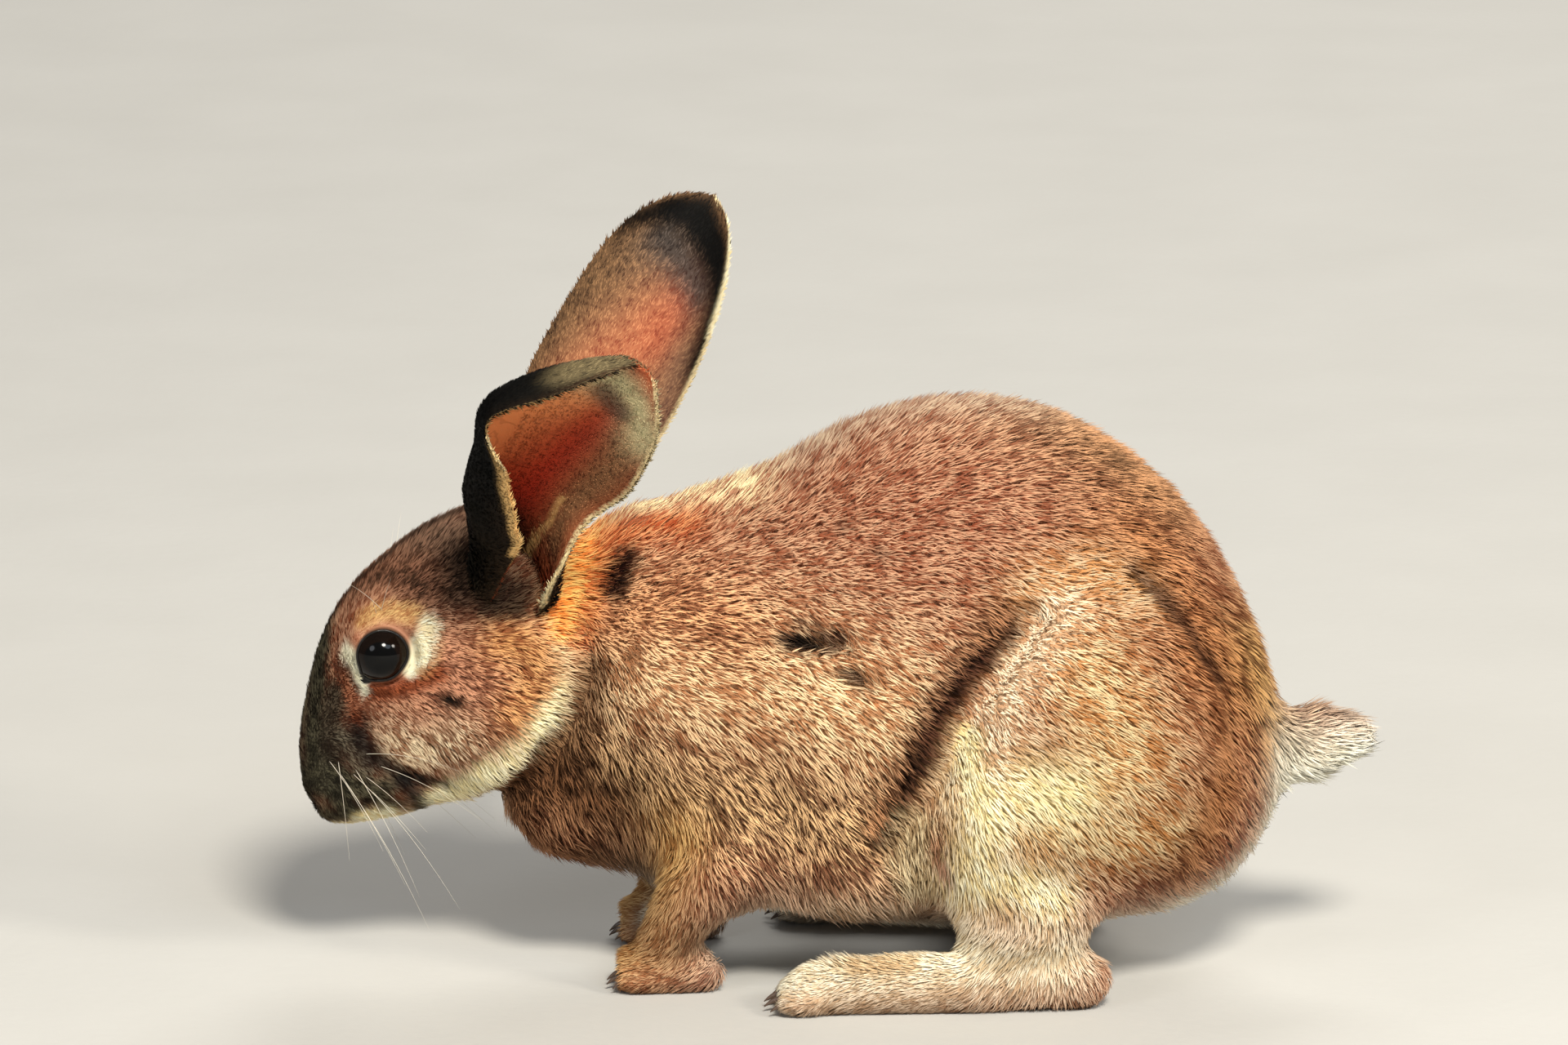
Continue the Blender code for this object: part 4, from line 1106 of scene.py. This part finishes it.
def smooth_between(s, at, amounts):
    """Amounts at given shares, joined by straight lines that a short blur rounds off."""
    return sum(np.interp(s + shift, at, amounts) for shift in (-0.04, -0.02, 0, 0.02, 0.04)) / 5


def ear_shell(name, shape):
    """A closed shell round the leaf: rings that run up the inside, round the front margin and
    back down the outside, half the wall's thickness from the leaf on its normal."""
    s = 1 - (1 - np.linspace(-0.06, 1, EAR_ROWS)[:, None]) ** 1.5
    s[0] = -0.08
    u = np.sin(np.linspace(-1, 1, EAR_COLUMNS) * math.pi / 2)[None]
    leaf, opening = ear_leaf(shape, s, u)
    if name in EAR_PULLS:
        leaf = pulled(leaf, EAR_PULLS[name], s, u)
    du = np.gradient(leaf, axis=1)
    ds = np.gradient(leaf, axis=0)
    normal = unit(np.cross(ds, du))
    middle = normal[len(s) // 2, u.shape[1] // 2]
    normal *= math.copysign(1, middle @ opening)
    wall = EAR_WALL[0] - EAR_WALL[1] * ease(0.05, 0.75, s)
    half = 0.5 * wall * (1 - EAR_MARGIN_THINNER * ease(0.8, 1, np.abs(u)))
    inner = leaf + normal * half[..., None]
    outer = leaf - normal * half[..., None]
    margins = []
    for column, step in ((-1, du[:, -1]), (0, -du[:, 0])):
        margins.append((leaf[:, column] + unit(step) * half[:, column][:, None])[:, None])
    rings = np.concatenate([inner, margins[0], outer[:, ::-1], margins[1]], axis=1)
    edge = np.ones((len(s), 1))
    at_s = s + 0 * rings[..., 0]
    at_u = np.concatenate([u + 0 * s, edge, u[:, ::-1] + 0 * s, -edge], axis=1)
    inside = np.concatenate([edge + 0 * u, edge / 2, 0 * (edge + u), edge / 2], axis=1)
    return rings, at_s, at_u, inside


def ear_material():
    """Hide of the ears: short fur over skin, with veins inside that show through."""
    ear = Finish("ear_hide")
    mottle = ear.noise(900, 5.0)
    line = ear.noise(90, 2.0) - 0.5
    veins = 1 - (line * line).within(0.00002, 0.0008)
    fur = ear.mixed(0.2 + 0.6 * mottle, ear.own("under", "Color"), ear.own("over", "Color"))
    blood = ear.mixed(ear.own("inside") * veins * 0.25, fur, (0.16, 0.03, 0.015, 1))
    return ear.closed(
        {
            "Base Color": blood,
            "Roughness": 0.5 + 0.25 * mottle,
            "Specular IOR Level": 0.03,
            "Normal": ear.bump(ear.noise(2200, 4.0), 0.25, 0.6),
        }
    )


ear_finish = ear_material()
ear_grounds = []
for name, shape in EARS.items():
    rings, at_s, at_u, inside = ear_shell(name, shape)
    points, faces = shells(rings[None])
    at_s, at_u, inside = (np.append(some.ravel(), [some[0].mean(), some[-1].mean()])
                          for some in (at_s, at_u, inside))
    spots = np.column_stack([at_s * shape["size"][0], at_u * EAR_SPAN, 0 * at_s])
    over, under = 0, 0
    for share, ground, markings in zip((1 - inside, inside), EAR_GROUND, EAR_MARKS[name]):
        markings = [(pelt, [(a, b, 0) for a, b in path], reach, cover)
                    for pelt, path, reach, cover in markings]
        tips, roots = painted(spots, ground, markings)
        over = over + share[:, None] * tips
        under = under + share[:, None] * roots
    values = {"over": over, "under": under, "inside": inside}
    piece(name + "_hide", points, faces, ear_finish, values, [name])
    squares = faces[0]
    normals = outward(points, squares)
    grid = rings.shape[0] * rings.shape[1]
    up = np.zeros_like(points)
    up[:grid] = np.gradient(rings, axis=0).reshape(-1, 3)
    margin = ease(0.8, 1, np.abs(at_u))
    over_margin = np.zeros_like(points)
    over_margin[:grid] = np.gradient(rings, axis=1).reshape(-1, 3)
    away = unit(over_margin) * (np.sign(at_u) * np.where(inside > 0.5, 1, -1))[:, None]
    # The near ear carries a fringe inside its front margin, which hangs out over the edge.
    fringe = (inside > EAR_INSIDE) * ease(0.72, 0.9, at_u) * (1 - ease(*EAR_FRINGE_ENDS, at_s))
    fringe = fringe * (shape["side"] < 0)
    lean = (EAR_LEAN[0] * margin - EAR_LEAN[1] * fringe)[:, None] * away
    lie = laid(unit(unit(up) + lean), normals)
    at_root = 1 - ease(*EAR_ROOT_ENDS, at_s)
    height, at_root_height, fringe_height = EAR_HEIGHT
    length, at_root_length, fringe_length = EAR_LENGTH
    ear_grounds.append(
        {
            "name": name,
            "points": points,
            "faces": squares,
            "normals": normals,
            "lie": lie,
            "height": height + at_root_height * at_root * (1 - margin) + fringe_height * fringe,
            "length": length + at_root_length * at_root * (1 - 0.9 * margin) + fringe_length * fringe,
            "over": over,
            "under": under,
            "bend": np.zeros(len(points)),
            "inside": inside,
            "u": at_u,
        }
    )

# ----------------------------------------
# The coat: locks of hair with a dark root and a pale tip, each a thin closed spike that
# leaves the hide at a slant and bends over to lie along the body. The locks are smallest
# on face, ears and feet. They are laid out by area, in pieces by part and side.
# ----------------------------------------
LOCK_WIDTH = 0.2, 0.03  # mm, and more for each mm of length
LOCK_SINK = 0.6
LOCK_BELLY = 0.4  # how far along a lock it is widest
LOCK_CORNERS = np.array([(1.0, -0.35), (-1.0, -0.35), (0.0, 0.65)])  # across and up, in radii
LOCK_FACES = np.array([(0, 1, 2), (0, 2, 3), (0, 3, 1), (4, 2, 1), (4, 3, 2), (4, 1, 3)])
LOCK_SHADING = 0.65, 0.35, 0.12  # shares of the hide's normal, the lock's own, and its way
LOCK_LOWEST = 0.15
STOUTNESS = 0.8, 1.25
# How unlike the locks are: in slow waves of that size, from clump to clump, and one by one.
SWAY = 0.2, 0.13, 0.12
SWAY_SIZE = 15
HEIGHT_SPREAD = 0.12, 0.1, 0.1
HEIGHT_SIZE = 19
LENGTH_SPREAD = 0.14, 0.1
LENGTH_RANGE = 0.5, 1.45
STRAND_SHARES = 0.1, 0.35, 0.4, 0.15  # by clump, one by one, and in small and large patches
SCATTER = np.array([12.9898, 78.233, 37.719]), 43758.5453  # they set each cell's value apart
PATCH_CONTRAST = 1.7
SMALL_PATCH = 0.9, 0.22  # mm, and more for each mm of the hair's length
LARGE_PATCH = 3.1  # times the small one
LOCK_PATCH = 0.003  # a lock's share of its piece's map
LOCK_ROOM = 0.002, 0.993  # the map's first edge, and its breadth


def scattered(ground, kept, cover, dice, stout):
    """Roots strewn over the kept faces: each face gets its area times cover over a lock's own
    area, and a root lies in it at (1-a)(1-b) A + a(1-b) B + ab C + (1-a)b D."""
    faces = ground["faces"][kept]
    corners = ground["points"][faces]
    area = np.linalg.norm(facing(ground["points"], faces), axis=1) / 2
    length = ground["length"][faces].mean(1)
    wanted = area * cover / (length * (LOCK_WIDTH[0] + LOCK_WIDTH[1] * length) * stout)
    count = np.floor(wanted + dice.random(len(wanted))).astype(int)
    face = np.repeat(np.arange(len(faces)), count)
    a, b = dice.random((2, len(face)))
    weights = np.stack([(1 - a) * (1 - b), a * (1 - b), a * b, (1 - a) * b], 1)
    own = {}
    for field in ("points", "normals", "lie", "height", "length", "over", "under", "bend"):
        values = ground[field][faces[face]]
        own[field] = (values * (weights[..., None] if values.ndim == 3 else weights)).sum(1)
    middle = corners.mean(1)[face]
    return own, face, middle


def waves(places, size):
    """A slow unevenness from -1 to 1: the mean of sines along four slanting ways."""
    ways = np.array([(1, 0.6, -0.3), (-0.4, 1, 0.7), (0.5, -0.3, 1.1), (-0.9, 0.2, 0.8)]) / size
    return np.sin(places @ ways.T * 2 * math.pi + (0.3, 1.7, 4.1, 2.6)).mean(1)


def patches(places, size):
    """Patches from 0 to 1: values strewn on the corners of cubes of that size, blended
    between them by 3 t² - 2 t³ and spread out from their mean."""
    cell = np.floor(places / size)
    t = ease(0, 1, places / size - cell)
    total = 0
    for corner in np.ndindex(2, 2, 2):
        value = np.modf(np.abs(np.sin((cell + corner) @ SCATTER[0])) * SCATTER[1])[0]
        total = total + value * np.prod(np.where(corner, t, 1 - t), axis=1)
    return np.clip(0.5 + PATCH_CONTRAST * (total - 0.5), 0, 1)


def locks(name, ground, kept, cover, dice, stout, clump=0.5):
    """A piece of coat. The middle of a lock at t is root + L t lie + (h (1 - (1-t)²)
    - bend (L t)² / 2) normal; it is widest at its belly and runs out to a point."""
    share = 1
    own, face, middle = scattered(ground, kept, cover * share, dice, stout)
    count = len(face)
    of_clump = dice.standard_normal((face.max() + 1, 3))[face]
    shade_of_clump = dice.random(face.max() + 1)[face]
    normal = unit(own["normals"])
    lie = unit(own["lie"])
    across = unit(np.cross(normal, lie))
    sway = (SWAY[0] * waves(own["points"], SWAY_SIZE) + SWAY[1] * of_clump[:, 0]
            + SWAY[2] * dice.standard_normal(count))
    lie = lie * np.cos(sway)[:, None] + across * np.sin(sway)[:, None]
    across = np.cross(normal, lie)
    length = 1 + LENGTH_SPREAD[0] * of_clump[:, 1] + LENGTH_SPREAD[1] * dice.standard_normal(count)
    length = own["length"] * np.clip(length, *LENGTH_RANGE)
    height = 1 + HEIGHT_SPREAD[0] * waves(own["points"], HEIGHT_SIZE) + HEIGHT_SPREAD[1] * of_clump[:, 2]
    height = own["height"] * (height + HEIGHT_SPREAD[2] * dice.standard_normal(count))
    width = (LOCK_WIDTH[0] + LOCK_WIDTH[1] * own["length"]) * stout
    radius = width / 2 * dice.uniform(*STOUTNESS, count)
    gather = clump * (middle - own["points"])
    points = np.empty((count, 5, 3))
    normals = np.empty((count, 5, 3))
    for corner, t in enumerate((0, LOCK_BELLY, LOCK_BELLY, LOCK_BELLY, 1)):
        rise = height * (1 - (1 - t) ** 2) - own["bend"] * (length * t) ** 2 / 2 - LOCK_SINK * (1 - t)
        spine = own["points"] + lie * (length * t)[:, None] + normal * rise[:, None] + gather * t
        side, up = LOCK_CORNERS[corner - 1] if 0 < t < 1 else (0, 0)
        lean = side * across + up * normal
        points[:, corner] = spine + lean * radius[:, None]
        by_hide, by_lean, by_lie = LOCK_SHADING
        normals[:, corner] = unit(by_hide * normal + by_lean * lean + by_lie * t * lie)
    points[..., 2] = np.maximum(points[..., 2], LOCK_LOWEST)
    grain = SMALL_PATCH[0] + SMALL_PATCH[1] * own["length"].mean()
    kinds = (shade_of_clump, dice.random(count), patches(own["points"], grain),
             patches(own["points"], LARGE_PATCH * grain))
    strand = sum(share * kind for share, kind in zip(STRAND_SHARES, kinds))
    values = {
        "over": np.repeat(own["over"], 5, axis=0),
        "under": np.repeat(own["under"], 5, axis=0),
        "along": np.tile((0, LOCK_BELLY, LOCK_BELLY, LOCK_BELLY, 1.0), count),
        "strand": np.repeat(strand, 5),
    }
    faces = (LOCK_FACES + 5 * np.arange(count)[:, None, None]).reshape(-1, 3)
    made = piece(name, points.reshape(-1, 3), [faces], coat_finish, values)
    made.data.normals_split_custom_set_from_vertices(normals.reshape(-1, 3))
    # OFBake: the skin round the piece's own long axis, rolled out flat: the turn and the way
    # along, with a small patch for each lock at its root's place.
    roots = own["points"]
    heart = roots.mean(0)
    axis, side, up = np.linalg.svd((roots - heart)[:: max(1, count // 4000)], full_matrices=False)[2]
    turn = np.arctan2((roots - heart) @ up, (roots - heart) @ side) / (2 * math.pi) + 0.5
    way = (roots - heart) @ axis
    way = (way - way.min()) / np.ptp(way)
    corner_u = LOCK_PATCH * np.array([0.5, 1.0, 0.0, 0.5, 0.5])
    corner_v = LOCK_PATCH * np.array([0.0, LOCK_BELLY, LOCK_BELLY, LOCK_BELLY + 0.12, 1.0])
    first, breadth = LOCK_ROOM
    patch = np.stack([(first + breadth * turn)[:, None] + corner_u,
                      (first + breadth * way)[:, None] + corner_v], -1).reshape(-1, 2)
    made.data.uv_layers.new(name="OFBake").data.foreach_set("uv", patch[faces.ravel()].ravel())


def coat_material():
    """Banded hair: underfur at the root, a pale band towards the tip, and on some a dark tip."""
    coat = Finish("coat")
    strand = coat.own("strand")
    along = coat.own("along")
    band = along.within(0.15, 0.7) * (0.15 + 0.85 * strand.within(0.33, 0.6))
    tone = coat.mixed(band, coat.own("under", "Color"), coat.own("over", "Color"))
    tipped = along.within(0.72, 0.95) * (1 - strand.within(0.24, 0.34)) * 0.5
    tone = coat.mixed(tipped, tone, (0.02, 0.012, 0.008, 1))
    tone = coat.mixed(0.9, tone, 0.9 + 0.2 * coat.noise(160), "MULTIPLY")
    return coat.closed(
        {
            "Base Color": tone,
            "Roughness": 0.5 + 0.2 * strand,
            "Specular IOR Level": 0.04,
        }
    )


# For each part of the body: its slot, how many locks lie over each other, how stout they are,
# and the x of the cuts between its pieces of coat. The eyes' places count as head.
COAT_PIECES = {
    "head": ("head_coat", 4.3, 1.15, ()),
    "neck": ("nape_coat", 3.7, 1.2, ()),
    "trunk": ("body_coat", 3.6, 1.3, (-45, -10, 15, 40, 70)),
    "tail": ("tail_coat", 4.6, 1.2, ()),
    "foreleg": ("leg_coat", 3.2, 1.2, ()),
    "hind_leg": ("haunch_coat", 3.6, 1.3, (60,)),
    "hind_foot": ("foot_coat", 2.8, 1.15, ()),
}
LID_COVER = 4
LID_BARE = 0.3  # what is more rim than this has no hair
EAR_COVERS = 2.2, 1.7  # outside and inside
EAR_MARGIN = 0.86
EAR_BARE = 0.25  # in front of this, the inside is bare
SOLE_LEVEL = 1.0  # what lies lower than this and faces down more than that is bare sole
SOLE_FACING = -0.7
coat_finish = coat_material()
near = KDTree(sum(len(frame["nodes"][name].data.vertices) for name in flesh))
owners = []
for name in flesh:
    part = next((part for part in COAT_PIECES if name.startswith(part)), "head")
    for point in frame["nodes"][name].data.vertices:
        near.insert(point.co, len(owners))
        owners.append(part)
near.balance()
face_middles = skin_points[skin_faces].mean(1)
face_part = np.array([owners[near.find(spot)[1]] for spot in face_middles * MM])
eye_clear = np.zeros(len(skin_points), bool)
for centre, out, _ in eyes:
    from_axis, turn, height = round_eye(skin_points, centre, out)
    eye_clear |= (height > EYE_BACK) & (from_axis < lid_edge(turn) + LID_REACH - LID_OVERLAP)
bare_sole = (face_middles[:, 2] < SOLE_LEVEL) & (skin_normals[skin_faces[:, 0], 2] < SOLE_FACING)
furred = ~eye_clear[skin_faces].any(1) & ~bare_sole
on_left = face_middles[:, 1] < MIDDLE
dice = np.random.default_rng(20)
for part, (slot, cover, stout, cuts) in COAT_PIECES.items():
    bays = np.digitize(face_middles[:, 0], cuts)
    for bay in range(len(cuts) + 1):
        for side, on_side in (("left", on_left), ("right", ~on_left)):
            kept = furred & (face_part == part) & on_side & (bays == bay)
            name = f"coat_{part}_{side}" + (f"_{bay + 1}" if cuts else "")
            locks(name, skin_ground, kept, cover, dice, stout=stout)
for ground, side in zip(lid_grounds, ("left", "right")):
    kept = ground["bare"][ground["faces"]].max(1) < LID_BARE
    locks("coat_lid_" + side, ground, kept, LID_COVER, dice, clump=0.2, stout=1)
for ground in ear_grounds:
    inside, u = (ground[field][ground["faces"]].mean(1) for field in ("inside", "u"))
    outer = (inside < EAR_INSIDE) | (np.abs(u) > EAR_MARGIN)
    for end, cover, kept in zip(("", "_inside"), EAR_COVERS, (outer, ~outer & (u < EAR_BARE))):
        name = "coat_" + ground["name"] + end
        locks(name, ground, kept, cover, dice, clump=0.3, stout=1.6)

# ----------------------------------------
# The claws: curved cones of dark horn, flattened at the sides, that grow out of the ends
# of the toes and bend down towards the ground.
# ----------------------------------------
CLAW_ROWS = {"fore": (-62, 25, 18, 4.3), "hind": (-17, 47, 21, 4.9)}  # ends, middle, width, length
TOES = 4
TOE_ARC = 14
CLAW_ROOT = 0.9  # how far behind the toe's end t is 0
CLAW_RADIUS = 1.25
CLAW_TIP = 0.06
CLAW_TAPER = 0.7
CLAW_FLAT = 0.7
CLAW_LEVEL = 3.9, 2.3  # height at the toe's end, and how far the tip drops


def claw_rings(row):
    """Rings along a bent axis: x = tip - L t, z = level - drop t |t|, round a radius of
    R (1 - t)^taper, flattened across."""
    tip, middle, width, length = row
    across = (np.arange(TOES) + 0.5) / TOES - 0.5
    along = np.linspace(-0.5, 0.97, 9)[:, None]
    turn = np.linspace(0, 2 * math.pi, 10, endpoint=False)[None]
    radius = CLAW_RADIUS * (1 - np.clip(along, 0, 1)) ** CLAW_TAPER + CLAW_TIP
    cone = np.stack(
        [
            -length * along + 0 * turn,
            CLAW_FLAT * radius * np.cos(turn),
            CLAW_LEVEL[0] - CLAW_LEVEL[1] * along * np.abs(along) + radius * np.sin(turn),
        ],
        -1,
    )
    rings = []
    for side in (-1, 1):
        start = np.stack([tip + CLAW_ROOT + TOE_ARC * across**2, MIDDLE + side * (middle + across * width),
                          0 * across], -1)
        rings.append(cone + start[:, None, None])
    return np.concatenate(rings)


horn = Finish("horn")
streak = horn.noise(500, 4.0, (0.2, 1, 1))
tone = horn.mixed(streak, (0.035, 0.02, 0.013, 1), (0.12, 0.075, 0.05, 1))
horn.closed({"Base Color": tone, "Roughness": 0.3 + 0.15 * streak})
for foot, row in CLAW_ROWS.items():
    points, faces = shells(claw_rings(row))
    piece(foot + "_claws", points, faces, horn.material, {})

# ----------------------------------------
# The whiskers: long tapered bristles from the whisker beds and over the eyes, some pale
# and some brown, which droop at their ends.
# ----------------------------------------
WHISKERS = {
    "muzzle": ((-139, 14, 61), (0.75, 0.45, -0.5), 4.5, 3.6, 10, (26, 50)),
    "brow": ((-128, 21, 108), (0.05, 0.7, 0.7), 2.2, 1.0, 3, (16, 24)),
}  # middle of the bed, way out, half length and half height of the bed, how many, lengths
WHISKER_RADIUS = 0.1
WHISKER_DROOP = 9.0  # of one that is as long as the next number
WHISKER_USUAL = 40
WHISKER_TAPER = 0.85
WHISKER_SUNK = 1.5
WHISKER_SPREAD = 0.22
WHISKER_FAN = np.array([0.3, 0, 0.35])  # how its place in the bed turns a whisker
WHISKER_LOWEST = 2.0


def bristles(bed, dice):
    """Tapered tubes: place(t) = root + L t way - droop t² (L / usual)² z, with radius
    r (1 - taper t)."""
    centre, way, half_length, half_height, count, (shortest, longest) = bed
    t = np.linspace(0, 1, 12)
    rings = []
    for side in (-1, 1):
        spread = dice.uniform(-1, 1, (count, 2))
        spread = np.column_stack([spread[:, 0], 0 * spread[:, 0], spread[:, 1]])
        root = np.array([centre[0], MIDDLE + side * (centre[1] - WHISKER_SUNK), centre[2]])
        root = root + spread * (half_length, 0, half_height)
        heading = dice.normal(0, WHISKER_SPREAD, (count, 3)) + (way[0], side * way[1], way[2])
        heading = heading + spread * WHISKER_FAN
        length = dice.uniform(shortest, longest, count)[:, None, None]
        line = root[:, None] + unit(heading)[:, None] * length * t[:, None]
        line = line - (0, 0, 1) * (WHISKER_DROOP * (length / WHISKER_USUAL) ** 2 * t[:, None] ** 2)
        line[..., 2] = np.maximum(line[..., 2], WHISKER_LOWEST)
        run = unit(np.gradient(line, axis=1))
        first = unit(np.cross(run, (0.1, 0.2, 1.0)))
        second = np.cross(run, first)
        turn = np.linspace(0, 2 * math.pi, 5, endpoint=False)
        radius = (WHISKER_RADIUS * (1 - WHISKER_TAPER * t))[:, None, None]
        rings.append(line[:, :, None] + radius * (first[:, :, None] * np.cos(turn)[:, None]
                                                  + second[:, :, None] * np.sin(turn)[:, None]))
    return np.concatenate(rings)


bristle = Finish("bristle")
tone = bristle.mixed(bristle.noise(60), (0.75, 0.7, 0.58, 1), (0.45, 0.38, 0.28, 1))
bristle.closed({"Base Color": tone, "Roughness": 0.35})
dice = np.random.default_rng(7)
rings = np.concatenate([bristles(bed, dice) for bed in WHISKERS.values()])
points, faces = shells(rings)
piece("whiskers", points, faces, bristle.material, {})

# ----------------------------------------
# The studio: a pale paper floor that the animal stands on, a warm key lamp high on its left
# and another behind it, a cool sky, soft fills, and the camera, a little above the animal.
# ----------------------------------------
FLOOR_HALF = 2500
AIM = np.array([-15.0, 17.5, 129.2])
CAMERA_RISE = math.radians(14)
CAMERA_AWAY = 3200
SENSOR = 36
PICTURE_WIDTH = 441.6  # at the rabbit
LAMPS = {
    "key": ((450, -2300, 2300), 700, 150, (1.0, 0.94, 0.84)),
    "side": ((2400, -1500, 1900), 700, 45, (1.0, 0.94, 0.84)),
    "sky": ((1300, -2300, 2200), 1500, 30, (0.75, 0.87, 1.0)),
    "fill": ((-1700, -1900, 1300), 1000, 14, (0.9, 0.94, 1.0)),
    "back": ((400, 2100, 1900), 1500, 38, (1.0, 0.97, 0.92)),
}  # place, size, power and colour
WORLD_LIGHT = 0.16

floor_finish = Finish("paper")
fleck = floor_finish.noise(14, 6.0)
paper = floor_finish.mixed(fleck, (0.44, 0.43, 0.40, 1), (0.49, 0.48, 0.45, 1))
relief = floor_finish.bump(floor_finish.noise(240), 0.4, 0.3)
floor_finish.closed({"Base Color": paper, "Roughness": 0.85, "Normal": relief})
floor_mesh = bpy.data.meshes.new("floor")
corners = [(x * FLOOR_HALF * MM, y * FLOOR_HALF * MM, 0) for x, y in ((-1, -1), (1, -1), (1, 1), (-1, 1))]
floor_mesh.from_pydata(corners, [], [(0, 1, 2, 3)])
floor_mesh.materials.append(floor_finish.material)
floor = bpy.data.objects.new("floor", floor_mesh)
bpy.context.scene.collection.objects.link(floor)

for name, (spot, size, power, colour) in LAMPS.items():
    lamp = bpy.data.lights.new(name, "AREA")
    lamp.shape = "DISK"
    lamp.energy = power
    lamp.size = size * MM
    lamp.color = colour
    item = bpy.data.objects.new(name, lamp)
    item.location = np.array(spot) * MM
    item.rotation_euler = Vector((AIM - spot) * MM).to_track_quat("-Z", "Y").to_euler()
    bpy.context.scene.collection.objects.link(item)

world = bpy.data.worlds.new("studio")
world.use_nodes = True
world.node_tree.nodes["Background"].inputs["Color"].default_value = (0.95, 0.97, 1.0, 1)
world.node_tree.nodes["Background"].inputs["Strength"].default_value = WORLD_LIGHT
bpy.context.scene.world = world

back = np.array([0, -math.cos(CAMERA_RISE), math.sin(CAMERA_RISE)])
camera = bpy.data.objects.new("camera", bpy.data.cameras.new("camera"))
camera.data.sensor_width = SENSOR
camera.data.lens = SENSOR * CAMERA_AWAY / PICTURE_WIDTH
camera.data.clip_end = 30
camera.location = (AIM + back * CAMERA_AWAY) * MM
camera.rotation_euler = (math.pi / 2 - CAMERA_RISE, 0, 0)
bpy.context.scene.collection.objects.link(camera)
bpy.context.scene.camera = camera
bpy.context.scene.view_settings.view_transform = "Standard"
